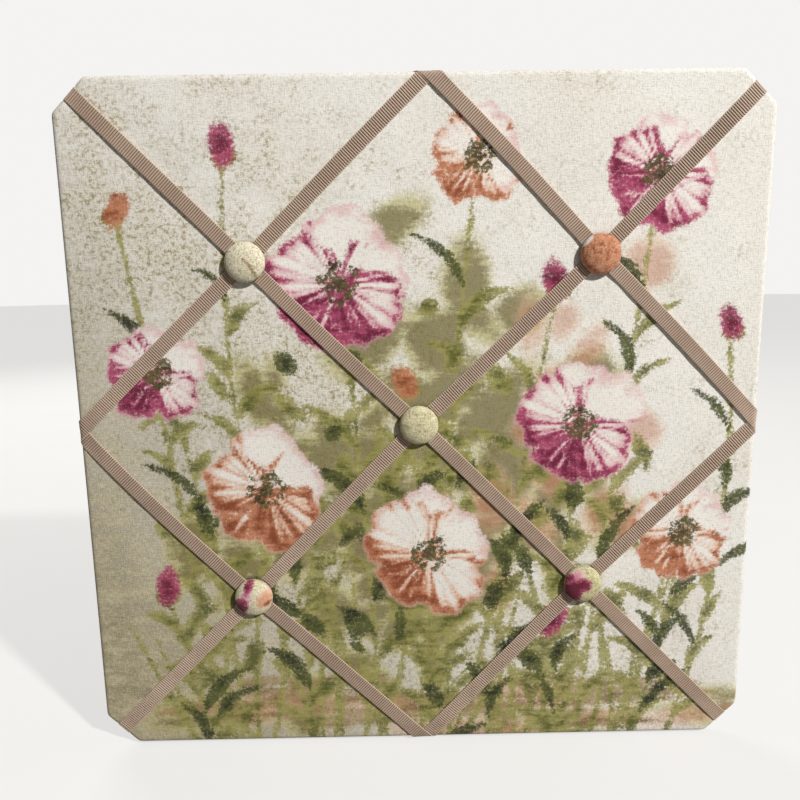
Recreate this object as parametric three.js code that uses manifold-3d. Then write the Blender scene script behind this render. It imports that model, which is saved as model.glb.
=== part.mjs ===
import * as THREE from "three";
import { mergeVertices } from "three/addons/utils/BufferGeometryUtils.js";
import Module from "manifold-3d";

const wasm = await Module();
wasm.setup();

// A padded memo board under printed cloth, with cut corners, crossed ribbons and covered buttons.
// Millimetres: X runs right, Z up and the front faces -Y.
// Depth is measured forward from the door, so depth d lies at y = -d and the strips touch the door at y = 0.

// Outline of the covered board
const BOARD_SIDE = 305; // across the covered board, side to side
const CORNER_CUT = 14.5; // leg of each cut corner
const CORNER_ROUND = 4; // rounding where a cut meets a side

// Thickness of the layers
const STRIP_THICKNESS = 1.5;
const BACKING_THICKNESS = 0.6;
const RIBBON_THICKNESS = 0.4;
const CLOTH_THICKNESS = 0.4;
const CORE_THICKNESS = 3;
const PAD_THICKNESS = 2; // at the rim, under tension
const SEAT = 0.15; // glue line, or the soft contact of two layers

// Form of the padded front
const CROWN = 0.6; // rise of the front from rim to centre
const DIMPLE_DEPTH = 0.5; // how far a button draws the front in
const DIMPLE_REACH = 14; // how far round a button the front is drawn in
const DIMPLE_STEP = 10; // from the middle of a dimple to the next fold of the front

// Sheets and strips behind the board
const TURN_IN = 22; // cloth turned in behind the core
const BACKING_MARGIN = 9; // turned-in cloth left showing round the backing sheet
const STRIP_LENGTH = 230;
const STRIP_WIDTH = 25.4;
const STRIP_ROUND = 2;
const STRIP_MARGIN = 44.8; // from a side of the board to the nearest strip

// Ribbons
const RIBBON_WIDTH = 6.6;
const RIBBON_TAIL = 16; // run of each ribbon behind the board
const CHANGE_FROM = 0.15; // share of a stretch after which a ribbon starts to change level
const CHANGE_TO = 0.8; // share of a stretch by which it has changed

// Covered buttons
const BUTTON_DIAMETER = 17.4;
const BUTTON_HEIGHT = 5.2;
const BUTTON_EQUATOR = 1.5; // height of the widest line
const CAP_CLOTH = 0.4;
const CAP_EDGE_ROUND = 0.8;
const CAP_TUCK = 1.5; // how far the cloth is tucked up inside the dome
const DOME_THICKNESS = 0.5;
const PLATE_THICKNESS = 0.6;
const PLATE_RECESS = 0.35; // how far the back plate sits up inside the cap
const PLATE_RIM_HEIGHT = 0.95;

// Shank and thread of a button
const WIRE_RADIUS = 0.45;
const WIRE_LEG = 1.25; // from the button's axis to the middle of a leg
const WIRE_BEND = 0.8;
const WIRE_FOOT = 3.6; // reach of each foot inside the dome
const THREAD_RADIUS = 0.4;
const THREAD_SPREAD = 1.6; // from the button's axis to a needle hole
const KNOT_RADIUS = 0.65;

// Fineness of the curved forms
const BUTTON_SEGMENTS = 20;
const INNER_SEGMENTS = 16;
const DOME_STEPS = 5;
const ROUND_SIDES = 6;
const HOLE_SIDES = 12;
const EYE_STEPS = 6;
const STRIP_CORNER_STEPS = 3;
const STRETCH_STEPS = 8;
const SAME_POINT = 1e-3; // points nearer than this are one

// Depths of the layers, each from the one behind it
const RIBBON_LAYER = RIBBON_THICKNESS + SEAT;
const BACKING_BACK = STRIP_THICKNESS + SEAT;
const BACKING_FRONT = BACKING_BACK + BACKING_THICKNESS;
const COVER_BACK = BACKING_FRONT + 2 * RIBBON_LAYER + SEAT;
const CORE_BACK = COVER_BACK + CLOTH_THICKNESS + SEAT;
const CORE_FRONT = CORE_BACK + CORE_THICKNESS;
const PAD_BACK = CORE_FRONT + SEAT;
const COVER_FRONT = PAD_BACK + PAD_THICKNESS + SEAT + CLOTH_THICKNESS;

// The cloth's path round the rim: over the padding's edge, down the side, round the core's back edge
const HALF = BOARD_SIDE / 2;
const FRONT_ROLL = PAD_THICKNESS + CLOTH_THICKNESS;
const BACK_ROLL = CLOTH_THICKNESS + 2 * SEAT;
const SIDE_RUN = COVER_FRONT - FRONT_ROLL - COVER_BACK - BACK_ROLL;
const FRONT_ROLL_RUN = (FRONT_ROLL * Math.PI) / 2;
const BACK_ROLL_RUN = (BACK_ROLL * Math.PI) / 2;
const SIDE_END = FRONT_ROLL_RUN + SIDE_RUN;
const WRAP_END = SIDE_END + BACK_ROLL_RUN;
const INSIDE_CLOTH = CLOTH_THICKNESS + SEAT;

// Where a button's shank and thread pass the layers
const EYE_DEPTH = CORE_FRONT + SEAT + WIRE_RADIUS; // middle of the wire at the bottom of the eye
const SHANK_HOLE = WIRE_LEG + WIRE_RADIUS + 2 * SEAT;
const PAD_HOLE = Math.max(SHANK_HOLE, THREAD_SPREAD + THREAD_RADIUS + 2 * SEAT);

const STRIP_PITCH = HALF - STRIP_MARGIN - STRIP_WIDTH / 2;
const SLANT = Math.SQRT1_2;
const CUT_DISTANCE = (BOARD_SIDE - CORNER_CUT) * SLANT; // from the centre to a corner cut

// How much nearer the centre a fold of the front lies at the rim than across the field, for the cut corners
const GRID_PULL = (HALF - CORNER_CUT / 2 - FRONT_ROLL * SLANT) / (HALF - FRONT_ROLL);

// The five button crossings, each a little off the quarter points as a hand placed it
const QUARTER = BOARD_SIDE / 4;
const CROSSINGS = {
  upper_left: { x: -0.972 * QUARTER, z: 0.992 * QUARTER, cloth: "#d8d2b4" },
  upper_right: { x: 1.031 * QUARTER, z: 1.008 * QUARTER, cloth: "#b5714f" },
  centre: { x: -0.004 * QUARTER, z: 0.042 * QUARTER, cloth: "#d3cba4" },
  lower_left: { x: -1.02 * QUARTER, z: -1.01 * QUARTER, cloth: "#cdb592" },
  lower_right: { x: 0.984 * QUARTER, z: -0.961 * QUARTER, cloth: "#c0a68a" },
};

// Where ribbons go over the rim: the way out, the distance from the centre, the drift along that edge
const ENDS = {
  top: { out: [0, 1], distance: HALF, drift: 0.037 * HALF },
  right: { out: [1, 0], distance: HALF, drift: -0.01 * HALF },
  bottom: { out: [0, -1], distance: HALF, drift: -0.005 * HALF },
  left: { out: [-1, 0], distance: HALF, drift: 0.013 * HALF },
  cut_upper_left: { out: [-SLANT, SLANT], distance: CUT_DISTANCE, drift: 0.007 * HALF },
  cut_upper_right: { out: [SLANT, SLANT], distance: CUT_DISTANCE, drift: 0 },
  cut_lower_right: { out: [SLANT, -SLANT], distance: CUT_DISTANCE, drift: 0 },
  cut_lower_left: { out: [-SLANT, -SLANT], distance: CUT_DISTANCE, drift: 0 },
};

// Each ribbon's stops, its level at each (1 lies over 0), and each stretch's bow to the left as a share of it
const RIBBONS = {
  ribbon_long_falling: {
    stops: ["cut_upper_left", "upper_left", "centre", "lower_right", "cut_lower_right"],
    levels: [0, 1, 1, 1, 0],
    bows: [0, -0.008, 0.002, 0],
  },
  ribbon_long_rising: {
    stops: ["cut_lower_left", "lower_left", "centre", "upper_right", "cut_upper_right"],
    levels: [0, 0, 0, 0, 0],
    bows: [0, 0.003, -0.003, 0],
  },
  ribbon_upper_left: {
    stops: ["left", "upper_left", "top"],
    levels: [1, 0, 0],
    bows: [0.003, 0.004],
  },
  ribbon_upper_right: {
    stops: ["top", "upper_right", "right"],
    levels: [1, 1, 1],
    bows: [0.008, 0.009],
  },
  ribbon_lower_left: {
    stops: ["left", "lower_left", "bottom"],
    levels: [0, 1, 1],
    bows: [-0.014, 0.002],
  },
  ribbon_lower_right: {
    stops: ["bottom", "lower_right", "right"],
    levels: [0, 0, 0],
    bows: [0.003, 0],
  },
};

// Materials
const clothMaterial = (colour) => new THREE.MeshStandardMaterial({ color: colour, roughness: 0.95 });
const MATERIALS = {
  cover: clothMaterial("#d9d3bd"),
  ribbon: clothMaterial("#9a8271"),
  pad: clothMaterial("#f2efe6"),
  thread: clothMaterial("#ece2cc"),
  core: new THREE.MeshStandardMaterial({ color: "#7d5b3a", roughness: 0.8 }),
  backing: new THREE.MeshStandardMaterial({ color: "#b99a6c", roughness: 0.9 }),
  strip: new THREE.MeshStandardMaterial({ color: "#2c2b2a", roughness: 0.7 }),
  dome: new THREE.MeshStandardMaterial({ color: "#c6c7c8", roughness: 0.4, metalness: 1 }),
  wire: new THREE.MeshStandardMaterial({ color: "#a9a8a4", roughness: 0.35, metalness: 1 }),
};

const board = new THREE.Group();
board.name = "french_memo_board";

function place(name, geometry, material) {
  const mesh = new THREE.Mesh(geometry, material);
  mesh.name = name;
  board.add(mesh);
}

// A point at x, z and a depth in front of the door
function spot(x, z, depth) {
  return new THREE.Vector3(x, -depth, z);
}

// Closed surfaces from points and triangles
function surface(points, triangles) {
  const geometry = new THREE.BufferGeometry().setFromPoints(points);
  geometry.setIndex(triangles);
  geometry.computeVertexNormals();
  return geometry;
}

// Two triangles for each quad between two rings of vertex numbers
function band(first, second, triangles) {
  for (let k = 0; k < first.length; k += 1) {
    const next = (k + 1) % first.length;
    triangles.push(first[k], first[next], second[k]);
    triangles.push(first[next], second[next], second[k]);
  }
}

// A surface through rings of points, closed by a fan at each end or run round into itself
function loft(rings, endless = false) {
  const points = rings.flat();
  const size = rings[0].length;
  const ringAt = (row) => Array.from({ length: size }, (_, k) => (row % rings.length) * size + k);
  const triangles = [];
  const bands = endless ? rings.length : rings.length - 1;
  for (let row = 0; row < bands; row += 1) {
    band(ringAt(row), ringAt(row + 1), triangles);
  }
  if (!endless) {
    const last = ringAt(rings.length - 1);
    for (let k = 1; k < size - 1; k += 1) {
      triangles.push(0, k + 1, k);
      triangles.push(last[0], last[k], last[k + 1]);
    }
  }
  return surface(points, triangles);
}

// A round wire or thread along points that lie in one plane, whose normal is given
function tube(path, radiusAt, normal, endless = false) {
  const rings = path.map((centre, k) => {
    const last = path.length - 1;
    const before = endless ? path[(k + last) % path.length] : path[Math.max(k - 1, 0)];
    const after = endless ? path[(k + 1) % path.length] : path[Math.min(k + 1, last)];
    const ahead = after.clone().sub(before).normalize();
    const across = normal.clone().cross(ahead);
    return Array.from({ length: ROUND_SIDES }, (_, n) => {
      const turn = (2 * Math.PI * n) / ROUND_SIDES;
      const reach = across.clone().multiplyScalar(Math.cos(turn));
      reach.addScaledVector(normal, Math.sin(turn));
      return centre.clone().addScaledVector(reach, radiusAt(k));
    });
  });
  return loft(rings, endless);
}

function manifoldOf(geometry) {
  const bare = new THREE.BufferGeometry();
  const loose = geometry.index ? geometry.toNonIndexed() : geometry;
  bare.setAttribute("position", loose.getAttribute("position"));
  const merged = mergeVertices(bare, SAME_POINT);
  const vertProperties = new Float32Array(merged.attributes.position.array);
  const triVerts = new Uint32Array(merged.index.array);
  return new wasm.Manifold(new wasm.Mesh({ numProp: 3, vertProperties, triVerts }));
}

// A piece less round holes that run from front to back
function drilled(geometry, holes) {
  let body = manifoldOf(geometry);
  for (const hole of holes) {
    const drill = new THREE.CylinderGeometry(hole.radius, hole.radius, BOARD_SIDE, HOLE_SIDES);
    drill.translate(hole.x, 0, hole.z);
    body = body.subtract(manifoldOf(drill));
  }
  const mesh = body.getMesh();
  const result = new THREE.BufferGeometry();
  result.setAttribute("position", new THREE.BufferAttribute(mesh.vertProperties, 3));
  result.setIndex(new THREE.BufferAttribute(mesh.triVerts, 1));
  result.computeVertexNormals();
  return result;
}

// A flat plate with an outline in x and z, from its back depth forward
function plate(outline, thickness, backDepth, holes = []) {
  const shape = new THREE.Shape(outline);
  for (const hole of holes) {
    const ring = new THREE.Path();
    ring.absarc(hole.x, hole.z, hole.radius, 0, 2 * Math.PI);
    shape.holes.push(ring);
  }
  const geometry = new THREE.ExtrudeGeometry(shape, {
    depth: thickness,
    bevelEnabled: false,
    curveSegments: HOLE_SIDES / 2, // a full circle takes two points for each
  });
  geometry.rotateX(Math.PI / 2);
  geometry.translate(0, -backDepth, 0);
  return geometry;
}

// Outline of the board: one side's points from the middle of a corner cut, with the way out at each
function sideMarks() {
  const marks = [];
  const mark = (x, z, angle, corner = false) => {
    marks.push({ x, z, corner, out: [Math.cos(angle), Math.sin(angle)] });
  };
  const toCut = Math.PI / 4;
  const upright = Math.PI / 2;
  const cornerX = HALF - CORNER_CUT;
  const inset = CORNER_ROUND * Math.tan(toCut / 2);
  const middle = HALF - CORNER_CUT / 2;
  const round = (sign, angles) => {
    for (const angle of angles) {
      const x = sign * (cornerX - inset) + CORNER_ROUND * Math.cos(angle);
      mark(x, HALF - CORNER_ROUND + CORNER_ROUND * Math.sin(angle), angle, true);
    }
  };
  mark(-middle, middle, upright + toCut);
  round(-1, [upright + toCut, upright]);
  for (const column of [-1, 0, 1]) {
    for (const side of [-1, 0, 1]) {
      mark((column * QUARTER + side * DIMPLE_STEP) * GRID_PULL, HALF, upright);
    }
  }
  round(1, [upright, upright - toCut]);
  return marks;
}

const SIDE_MARKS = sideMarks();

// The whole outline, clockwise as seen from the front
const OUTLINE = [0, 1, 2, 3].flatMap((turn) =>
  SIDE_MARKS.map((mark) => {
    let { x, z } = mark;
    let [outX, outZ] = mark.out;
    for (let k = 0; k < turn; k += 1) {
      [x, z] = [z, -x];
      [outX, outZ] = [outZ, -outX];
    }
    return { ...mark, x, z, out: [outX, outZ] };
  }),
);

const CORNERS = OUTLINE.filter((mark) => mark.corner);

// An outline moved out by an offset, or in by a negative one
function offsetOutline(marks, offset) {
  return marks.map(({ x, z, out }) => new THREE.Vector2(x + out[0] * offset, z + out[1] * offset));
}

// An outline drawn in evenly towards the centre
function shrunkOutline(marks, inset) {
  return marks.map(({ x, z }) => new THREE.Vector2(x, z).multiplyScalar(1 - inset / HALF));
}

// Depth of the cloth's front face: a low crown, drawn in round each button
function frontDepth(x, z) {
  const rim = HALF - FRONT_ROLL;
  let depth = COVER_FRONT + CROWN * (1 - (x / rim) ** 2) * (1 - (z / rim) ** 2);
  for (const crossing of Object.values(CROSSINGS)) {
    const away = Math.hypot(x - crossing.x, z - crossing.z) / DIMPLE_REACH;
    depth -= DIMPLE_DEPTH * Math.exp(-(away ** 2));
  }
  return depth;
}

// The cloth's path over the rim: offset from the outline and depth, at a run from the front, lifted off it
function rimProfile(run, lift) {
  if (run <= FRONT_ROLL_RUN) {
    const turn = run / FRONT_ROLL;
    const reach = FRONT_ROLL + lift;
    const depth = COVER_FRONT - FRONT_ROLL + reach * Math.cos(turn);
    return { offset: reach * Math.sin(turn) - FRONT_ROLL, depth };
  }
  if (run <= SIDE_END) {
    return { offset: lift, depth: COVER_FRONT - FRONT_ROLL - (run - FRONT_ROLL_RUN) };
  }
  if (run <= WRAP_END) {
    const turn = (run - SIDE_END) / BACK_ROLL;
    const reach = BACK_ROLL + lift;
    const depth = COVER_BACK + BACK_ROLL - reach * Math.sin(turn);
    return { offset: reach * Math.cos(turn) - BACK_ROLL, depth };
  }
  return { offset: -BACK_ROLL - (run - WRAP_END), depth: COVER_BACK - lift };
}

// Runs over the rim at which sheets and ribbons bend
const RIM_RUNS = [
  FRONT_ROLL_RUN / 3,
  (2 * FRONT_ROLL_RUN) / 3,
  FRONT_ROLL_RUN,
  SIDE_END,
  SIDE_END + BACK_ROLL_RUN / 2,
  WRAP_END,
];

const atDepth = (outline, depth) => outline.map((p) => spot(p.x, p.y, depth));

function rimRing(run, lift) {
  const { offset, depth } = rimProfile(run, lift);
  return atDepth(offsetOutline(OUTLINE, offset), depth);
}

// The padded front as a grid of points that meets the rim's first ring
const GRID_MARKS = [...SIDE_MARKS, { ...SIDE_MARKS[0], x: -SIDE_MARKS[0].x, out: [SLANT, SLANT] }];
const GRID_SIZE = GRID_MARKS.length;

function frontGrid(lift) {
  const along = GRID_MARKS.map(({ x, out }) => x - out[0] * FRONT_ROLL);
  const up = GRID_MARKS.map(({ z, out }) => z - out[1] * FRONT_ROLL);
  const corner = along[GRID_SIZE - 1];
  const points = [];
  for (let row = 0; row < GRID_SIZE; row += 1) {
    for (let column = 0; column < GRID_SIZE; column += 1) {
      const x = (along[column] * up[row]) / corner;
      const z = (along[row] * up[column]) / corner;
      points.push(spot(x, z, frontDepth(x, z) + lift));
    }
  }
  return points;
}

// Vertex numbers of the grid's edge, in the order of the outline
function gridEdge(first) {
  const end = GRID_SIZE - 1;
  const at = (column, row) => first + row * GRID_SIZE + column;
  const steps = Array.from({ length: end }, (_, k) => k);
  return [
    ...steps.map((k) => at(k, end)),
    ...steps.map((k) => at(end, end - k)),
    ...steps.map((k) => at(end - k, 0)),
    ...steps.map((k) => at(0, k)),
  ];
}

function gridFaces(first, facingFront, triangles) {
  for (let row = 0; row < GRID_SIZE - 1; row += 1) {
    for (let column = 0; column < GRID_SIZE - 1; column += 1) {
      const a = first + row * GRID_SIZE + column;
      const b = a + 1;
      const c = a + GRID_SIZE;
      const d = c + 1;
      triangles.push(...(facingFront ? [a, b, d, a, d, c] : [a, d, b, a, c, d]));
    }
  }
}

// Rings added after a grid, banded one to the next from a first ring of vertex numbers
function addRings(points, triangles, start, rings) {
  let current = start;
  for (const ring of rings) {
    const next = ring.map((_, k) => points.length + k);
    points.push(...ring);
    band(current, next, triangles);
    current = next;
  }
  return current;
}

const shankHoles = (radius) => Object.values(CROSSINGS).map(({ x, z }) => ({ x, z, radius }));

// Printed cloth: over the front, round the rim and turned in behind the core
function coverCloth() {
  const roll = RIM_RUNS.filter((run) => run <= FRONT_ROLL_RUN);
  const turnIn = shrunkOutline(OUTLINE, TURN_IN);
  const insideBack = COVER_BACK + CLOTH_THICKNESS;
  const points = frontGrid(0);
  const triangles = [];
  gridFaces(0, true, triangles);
  const rings = [
    ...RIM_RUNS.map((run) => rimRing(run, 0)),
    atDepth(turnIn, COVER_BACK),
    atDepth(turnIn, insideBack),
    atDepth(offsetOutline(OUTLINE, -CLOTH_THICKNESS), insideBack),
    ...roll.map((run) => rimRing(run, -CLOTH_THICKNESS)).reverse(),
  ];
  const last = addRings(points, triangles, gridEdge(0), rings);
  const inside = points.length;
  points.push(...frontGrid(-CLOTH_THICKNESS));
  gridFaces(inside, false, triangles);
  band(last, gridEdge(inside), triangles);
  return drilled(surface(points, triangles), shankHoles(SHANK_HOLE));
}

// Padding: the same form under the cloth, flat behind
function padding() {
  const points = frontGrid(-INSIDE_CLOTH);
  const triangles = [];
  gridFaces(0, true, triangles);
  const foot = atDepth(offsetOutline(OUTLINE, -INSIDE_CLOTH), PAD_BACK);
  const rolled = RIM_RUNS.filter((run) => run <= FRONT_ROLL_RUN).map((run) => rimRing(run, -INSIDE_CLOTH));
  const last = addRings(points, triangles, gridEdge(0), [...rolled, foot]);
  const middle = points.length;
  points.push(spot(0, 0, PAD_BACK));
  last.forEach((vertex, k) => triangles.push(vertex, last[(k + 1) % last.length], middle));
  return drilled(surface(points, triangles), shankHoles(PAD_HOLE));
}

// Core board with two needle holes under each button
function coreBoard() {
  const holes = Object.values(CROSSINGS).flatMap(({ x, z }) =>
    [-1, 1].map((side) => ({ x, z: z + side * THREAD_SPREAD, radius: THREAD_RADIUS + SEAT })),
  );
  return plate(offsetOutline(CORNERS, -INSIDE_CLOTH), CORE_THICKNESS, CORE_BACK, holes);
}

function backingSheet() {
  return plate(shrunkOutline(CORNERS, BACKING_MARGIN), BACKING_THICKNESS, BACKING_BACK);
}

// A magnetic strip with rounded corners, its middle at height z
function magneticStrip(z) {
  const right = STRIP_LENGTH / 2;
  const top = z + STRIP_WIDTH / 2;
  const bottom = z - STRIP_WIDTH / 2;
  const shape = new THREE.Shape();
  shape.absarc(right - STRIP_ROUND, top - STRIP_ROUND, STRIP_ROUND, 0, Math.PI / 2);
  shape.absarc(-right + STRIP_ROUND, top - STRIP_ROUND, STRIP_ROUND, Math.PI / 2, Math.PI);
  shape.absarc(-right + STRIP_ROUND, bottom + STRIP_ROUND, STRIP_ROUND, Math.PI, 1.5 * Math.PI);
  shape.absarc(right - STRIP_ROUND, bottom + STRIP_ROUND, STRIP_ROUND, 1.5 * Math.PI, 2 * Math.PI);
  return plate(shape.getPoints(STRIP_CORNER_STEPS), STRIP_THICKNESS, 0);
}

// A point of the cloth laid flat, as it lies once the cloth is wrapped round the board
function wrapped(flat, lift) {
  let over = null;
  for (const end of Object.values(ENDS)) {
    const run = flat.x * end.out[0] + flat.y * end.out[1] - (end.distance - FRONT_ROLL);
    if (run > 0 && (over === null || run > over.run)) {
      over = { run, out: end.out };
    }
  }
  if (over === null) {
    return spot(flat.x, flat.y, frontDepth(flat.x, flat.y) + lift);
  }
  const { offset, depth } = rimProfile(over.run, lift);
  const shift = offset + FRONT_ROLL - over.run;
  return spot(flat.x + over.out[0] * shift, flat.y + over.out[1] * shift, depth);
}

// A ribbon's stop: a button crossing, or where it crosses the board's outline
function flatStop(name) {
  if (name in CROSSINGS) {
    return new THREE.Vector2(CROSSINGS[name].x, CROSSINGS[name].z);
  }
  const { out, distance, drift } = ENDS[name];
  return new THREE.Vector2(out[0] * distance + out[1] * drift, out[1] * distance - out[0] * drift);
}

// A stop at the outline, drawn back along the ribbon to where the cloth starts to go over the rim
function rimStop(name, inner) {
  const { out, distance } = ENDS[name];
  const reach = inner.x * out[0] + inner.y * out[1];
  const share = (distance - FRONT_ROLL - reach) / (distance - reach);
  return inner.clone().lerp(flatStop(name), share);
}

const leftOf = (ahead) => new THREE.Vector2(-ahead.y, ahead.x);
const ease = (share) => THREE.MathUtils.smoothstep(share, CHANGE_FROM, CHANGE_TO);

// Rows of one ribbon on the flat cloth: the middle, the half width across and the level at each
function ribbonRows({ stops, levels, bows }) {
  const inner = stops.slice(1, -1).map(flatStop);
  const first = rimStop(stops[0], inner[0]);
  const final = rimStop(stops[stops.length - 1], inner[inner.length - 1]);
  const marks = [first, ...inner, final];
  const rows = [];
  for (let leg = 0; leg < marks.length - 1; leg += 1) {
    const ahead = marks[leg + 1].clone().sub(marks[leg]).normalize();
    const across = leftOf(ahead).multiplyScalar(RIBBON_WIDTH / 2);
    const bow = bows[leg] * marks[leg].distanceTo(marks[leg + 1]);
    for (let step = leg === 0 ? 0 : 1; step <= STRETCH_STEPS; step += 1) {
      const share = step / STRETCH_STEPS;
      const middle = marks[leg].clone().lerp(marks[leg + 1], share);
      middle.addScaledVector(leftOf(ahead), 4 * bow * share * (1 - share));
      const level = THREE.MathUtils.lerp(levels[leg], levels[leg + 1], ease(share));
      rows.push({ middle, across: across.clone(), level });
    }
  }
  return rows;
}

// Turns the rows of a ribbon's last stretch to lie along the edge they cross, and carries it over the rim
function overTheRim(rows, endName) {
  const { out } = ENDS[endName];
  const edge = new THREE.Vector2(out[1], -out[0]);
  const last = rows.length - 1;
  const ahead = rows[last].middle.clone().sub(rows[last - STRETCH_STEPS].middle).normalize();
  const square = leftOf(ahead);
  const slanted = edge.clone().multiplyScalar(RIBBON_WIDTH / 2 / edge.dot(square));
  for (let step = 1; step <= STRETCH_STEPS; step += 1) {
    rows[last - STRETCH_STEPS + step].across.lerp(slanted, ease(step / STRETCH_STEPS));
  }
  const climb = ahead.x * out[0] + ahead.y * out[1];
  const start = rows[last];
  for (const run of [...RIM_RUNS, WRAP_END + RIBBON_TAIL]) {
    const middle = start.middle.clone().addScaledVector(ahead, run / climb);
    rows.push({ middle, across: slanted.clone(), level: start.level });
  }
}

// The same rows from the other end
function turnedRound(rows) {
  return rows.reverse().map((row) => ({ ...row, across: row.across.clone().negate() }));
}

function ribbon(run) {
  let rows = ribbonRows(run);
  overTheRim(rows, run.stops[run.stops.length - 1]);
  const tailRows = RIM_RUNS.length + 1;
  const tail = rows.splice(rows.length - tailRows, tailRows);
  rows = turnedRound(rows);
  overTheRim(rows, run.stops[0]);
  rows = [...turnedRound(rows), ...tail];
  const rings = rows.map(({ middle, across, level }) => {
    const under = SEAT + level * RIBBON_LAYER;
    const over = under + RIBBON_THICKNESS;
    const left = middle.clone().add(across);
    const right = middle.clone().sub(across);
    return [wrapped(left, under), wrapped(left, over), wrapped(right, over), wrapped(right, under)];
  });
  const crossed = run.stops.filter((name) => name in CROSSINGS);
  const holes = crossed.map((name) => ({ ...CROSSINGS[name], radius: SHANK_HOLE }));
  return drilled(loft(rings), holes);
}

// Depth at which a button's underside rests on the crossed ribbons
function buttonDepth({ x, z }) {
  const reach = BUTTON_DIAMETER / 2 - CAP_EDGE_ROUND;
  const round = Array.from({ length: HOLE_SIDES }, (_, k) => {
    const turn = (2 * Math.PI * k) / HOLE_SIDES;
    return frontDepth(x + reach * Math.cos(turn), z + reach * Math.sin(turn));
  });
  return Math.max(...round) + 2 * RIBBON_LAYER + 2 * SEAT;
}

// Quarter of a dome's section, from its top to its widest line
function domeArc(radius, height, steps) {
  return Array.from({ length: steps + 1 }, (_, k) => {
    const turn = (Math.PI / 2) * (k / steps);
    return [radius * Math.sin(turn), BUTTON_EQUATOR + (height - BUTTON_EQUATOR) * Math.cos(turn)];
  });
}

// A turned piece from a section of radius and height above a button's underside
function turned(section, crossing, segments) {
  const profile = section.map(([radius, height]) => new THREE.Vector2(radius, -height));
  const geometry = new THREE.LatheGeometry(profile, segments);
  geometry.translate(crossing.x, -buttonDepth(crossing), crossing.z);
  return geometry;
}

// Radii of a button's nested pieces, from the outside in
const CAP_RADIUS = BUTTON_DIAMETER / 2;
const DOME_RADIUS = CAP_RADIUS - CAP_CLOTH - SEAT;
const TUCK_OUTSIDE = DOME_RADIUS - DOME_THICKNESS - SEAT;
const TUCK_INSIDE = TUCK_OUTSIDE - CAP_CLOTH;
const PLATE_RADIUS = TUCK_INSIDE - SEAT;
const DOME_FOOT = CAP_CLOTH + SEAT;

// Cloth cap: over the dome, round its foot and tucked up inside
function buttonCap(crossing) {
  const edge = (radius) => {
    const slope = radius * SLANT;
    return [CAP_RADIUS - CAP_EDGE_ROUND + slope, CAP_EDGE_ROUND - slope];
  };
  const outside = domeArc(CAP_RADIUS, BUTTON_HEIGHT, DOME_STEPS);
  const inside = domeArc(CAP_RADIUS - CAP_CLOTH, BUTTON_HEIGHT - CAP_CLOTH, DOME_STEPS);
  const section = [
    ...outside,
    [CAP_RADIUS, CAP_EDGE_ROUND],
    edge(CAP_EDGE_ROUND),
    [CAP_RADIUS - CAP_EDGE_ROUND, 0],
    [TUCK_INSIDE, 0],
    [TUCK_INSIDE, CAP_TUCK],
    [TUCK_OUTSIDE, CAP_TUCK],
    [TUCK_OUTSIDE, CAP_CLOTH],
    [CAP_RADIUS - CAP_EDGE_ROUND, CAP_CLOTH],
    edge(CAP_EDGE_ROUND - CAP_CLOTH),
    [CAP_RADIUS - CAP_CLOTH, CAP_EDGE_ROUND],
    ...inside.reverse(),
  ];
  return turned(section, crossing, BUTTON_SEGMENTS);
}

// Metal dome that gives the button its form
function buttonDome(crossing) {
  const top = BUTTON_HEIGHT - DOME_FOOT;
  const inner = DOME_RADIUS - DOME_THICKNESS;
  const outside = domeArc(DOME_RADIUS, top, DOME_STEPS);
  const inside = domeArc(inner, top - DOME_THICKNESS, DOME_STEPS - 2);
  const section = [...outside, [DOME_RADIUS, DOME_FOOT], [inner, DOME_FOOT], ...inside.reverse()];
  return turned(section, crossing, INNER_SEGMENTS);
}

// Back plate: a shallow cup pressed into the tucked cloth, with two holes for the shank
function buttonPlate(crossing) {
  const top = PLATE_RECESS + PLATE_THICKNESS;
  const rimTop = PLATE_RECESS + PLATE_RIM_HEIGHT;
  const rimInside = PLATE_RADIUS - PLATE_THICKNESS;
  const section = [
    [0, top],
    [rimInside, top],
    [rimInside, rimTop],
    [PLATE_RADIUS, rimTop],
    [PLATE_RADIUS, PLATE_RECESS],
    [0, PLATE_RECESS],
  ];
  const holes = [-1, 1].map((side) => {
    return { x: crossing.x + side * WIRE_LEG, z: crossing.z, radius: WIRE_RADIUS + SEAT };
  });
  return drilled(turned(section, crossing, INNER_SEGMENTS), holes);
}

// Wire shank: two feet above the back plate, two legs through it and an eye in the padding
function buttonShank(crossing) {
  const foot = buttonDepth(crossing) + PLATE_RECESS + PLATE_THICKNESS + SEAT + WIRE_RADIUS;
  const eye = EYE_DEPTH + WIRE_LEG;
  const bend = (side, share) => {
    const turn = (Math.PI / 2) * share;
    const x = side * (WIRE_LEG + WIRE_BEND * (1 - Math.sin(turn)));
    return [x, foot - WIRE_BEND * (1 - Math.cos(turn))];
  };
  const loop = Array.from({ length: EYE_STEPS + 1 }, (_, k) => {
    const turn = (Math.PI * k) / EYE_STEPS;
    return [-WIRE_LEG * Math.cos(turn), eye - WIRE_LEG * Math.sin(turn)];
  });
  const path = [
    [-WIRE_FOOT, foot],
    ...[0, 0.5, 1].map((share) => bend(-1, share)),
    ...loop,
    ...[1, 0.5, 0].map((share) => bend(1, share)),
    [WIRE_FOOT, foot],
  ];
  const points = path.map(([x, depth]) => spot(crossing.x + x, crossing.z, depth));
  return tube(points, () => WIRE_RADIUS, new THREE.Vector3(0, 0, 1));
}

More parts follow.
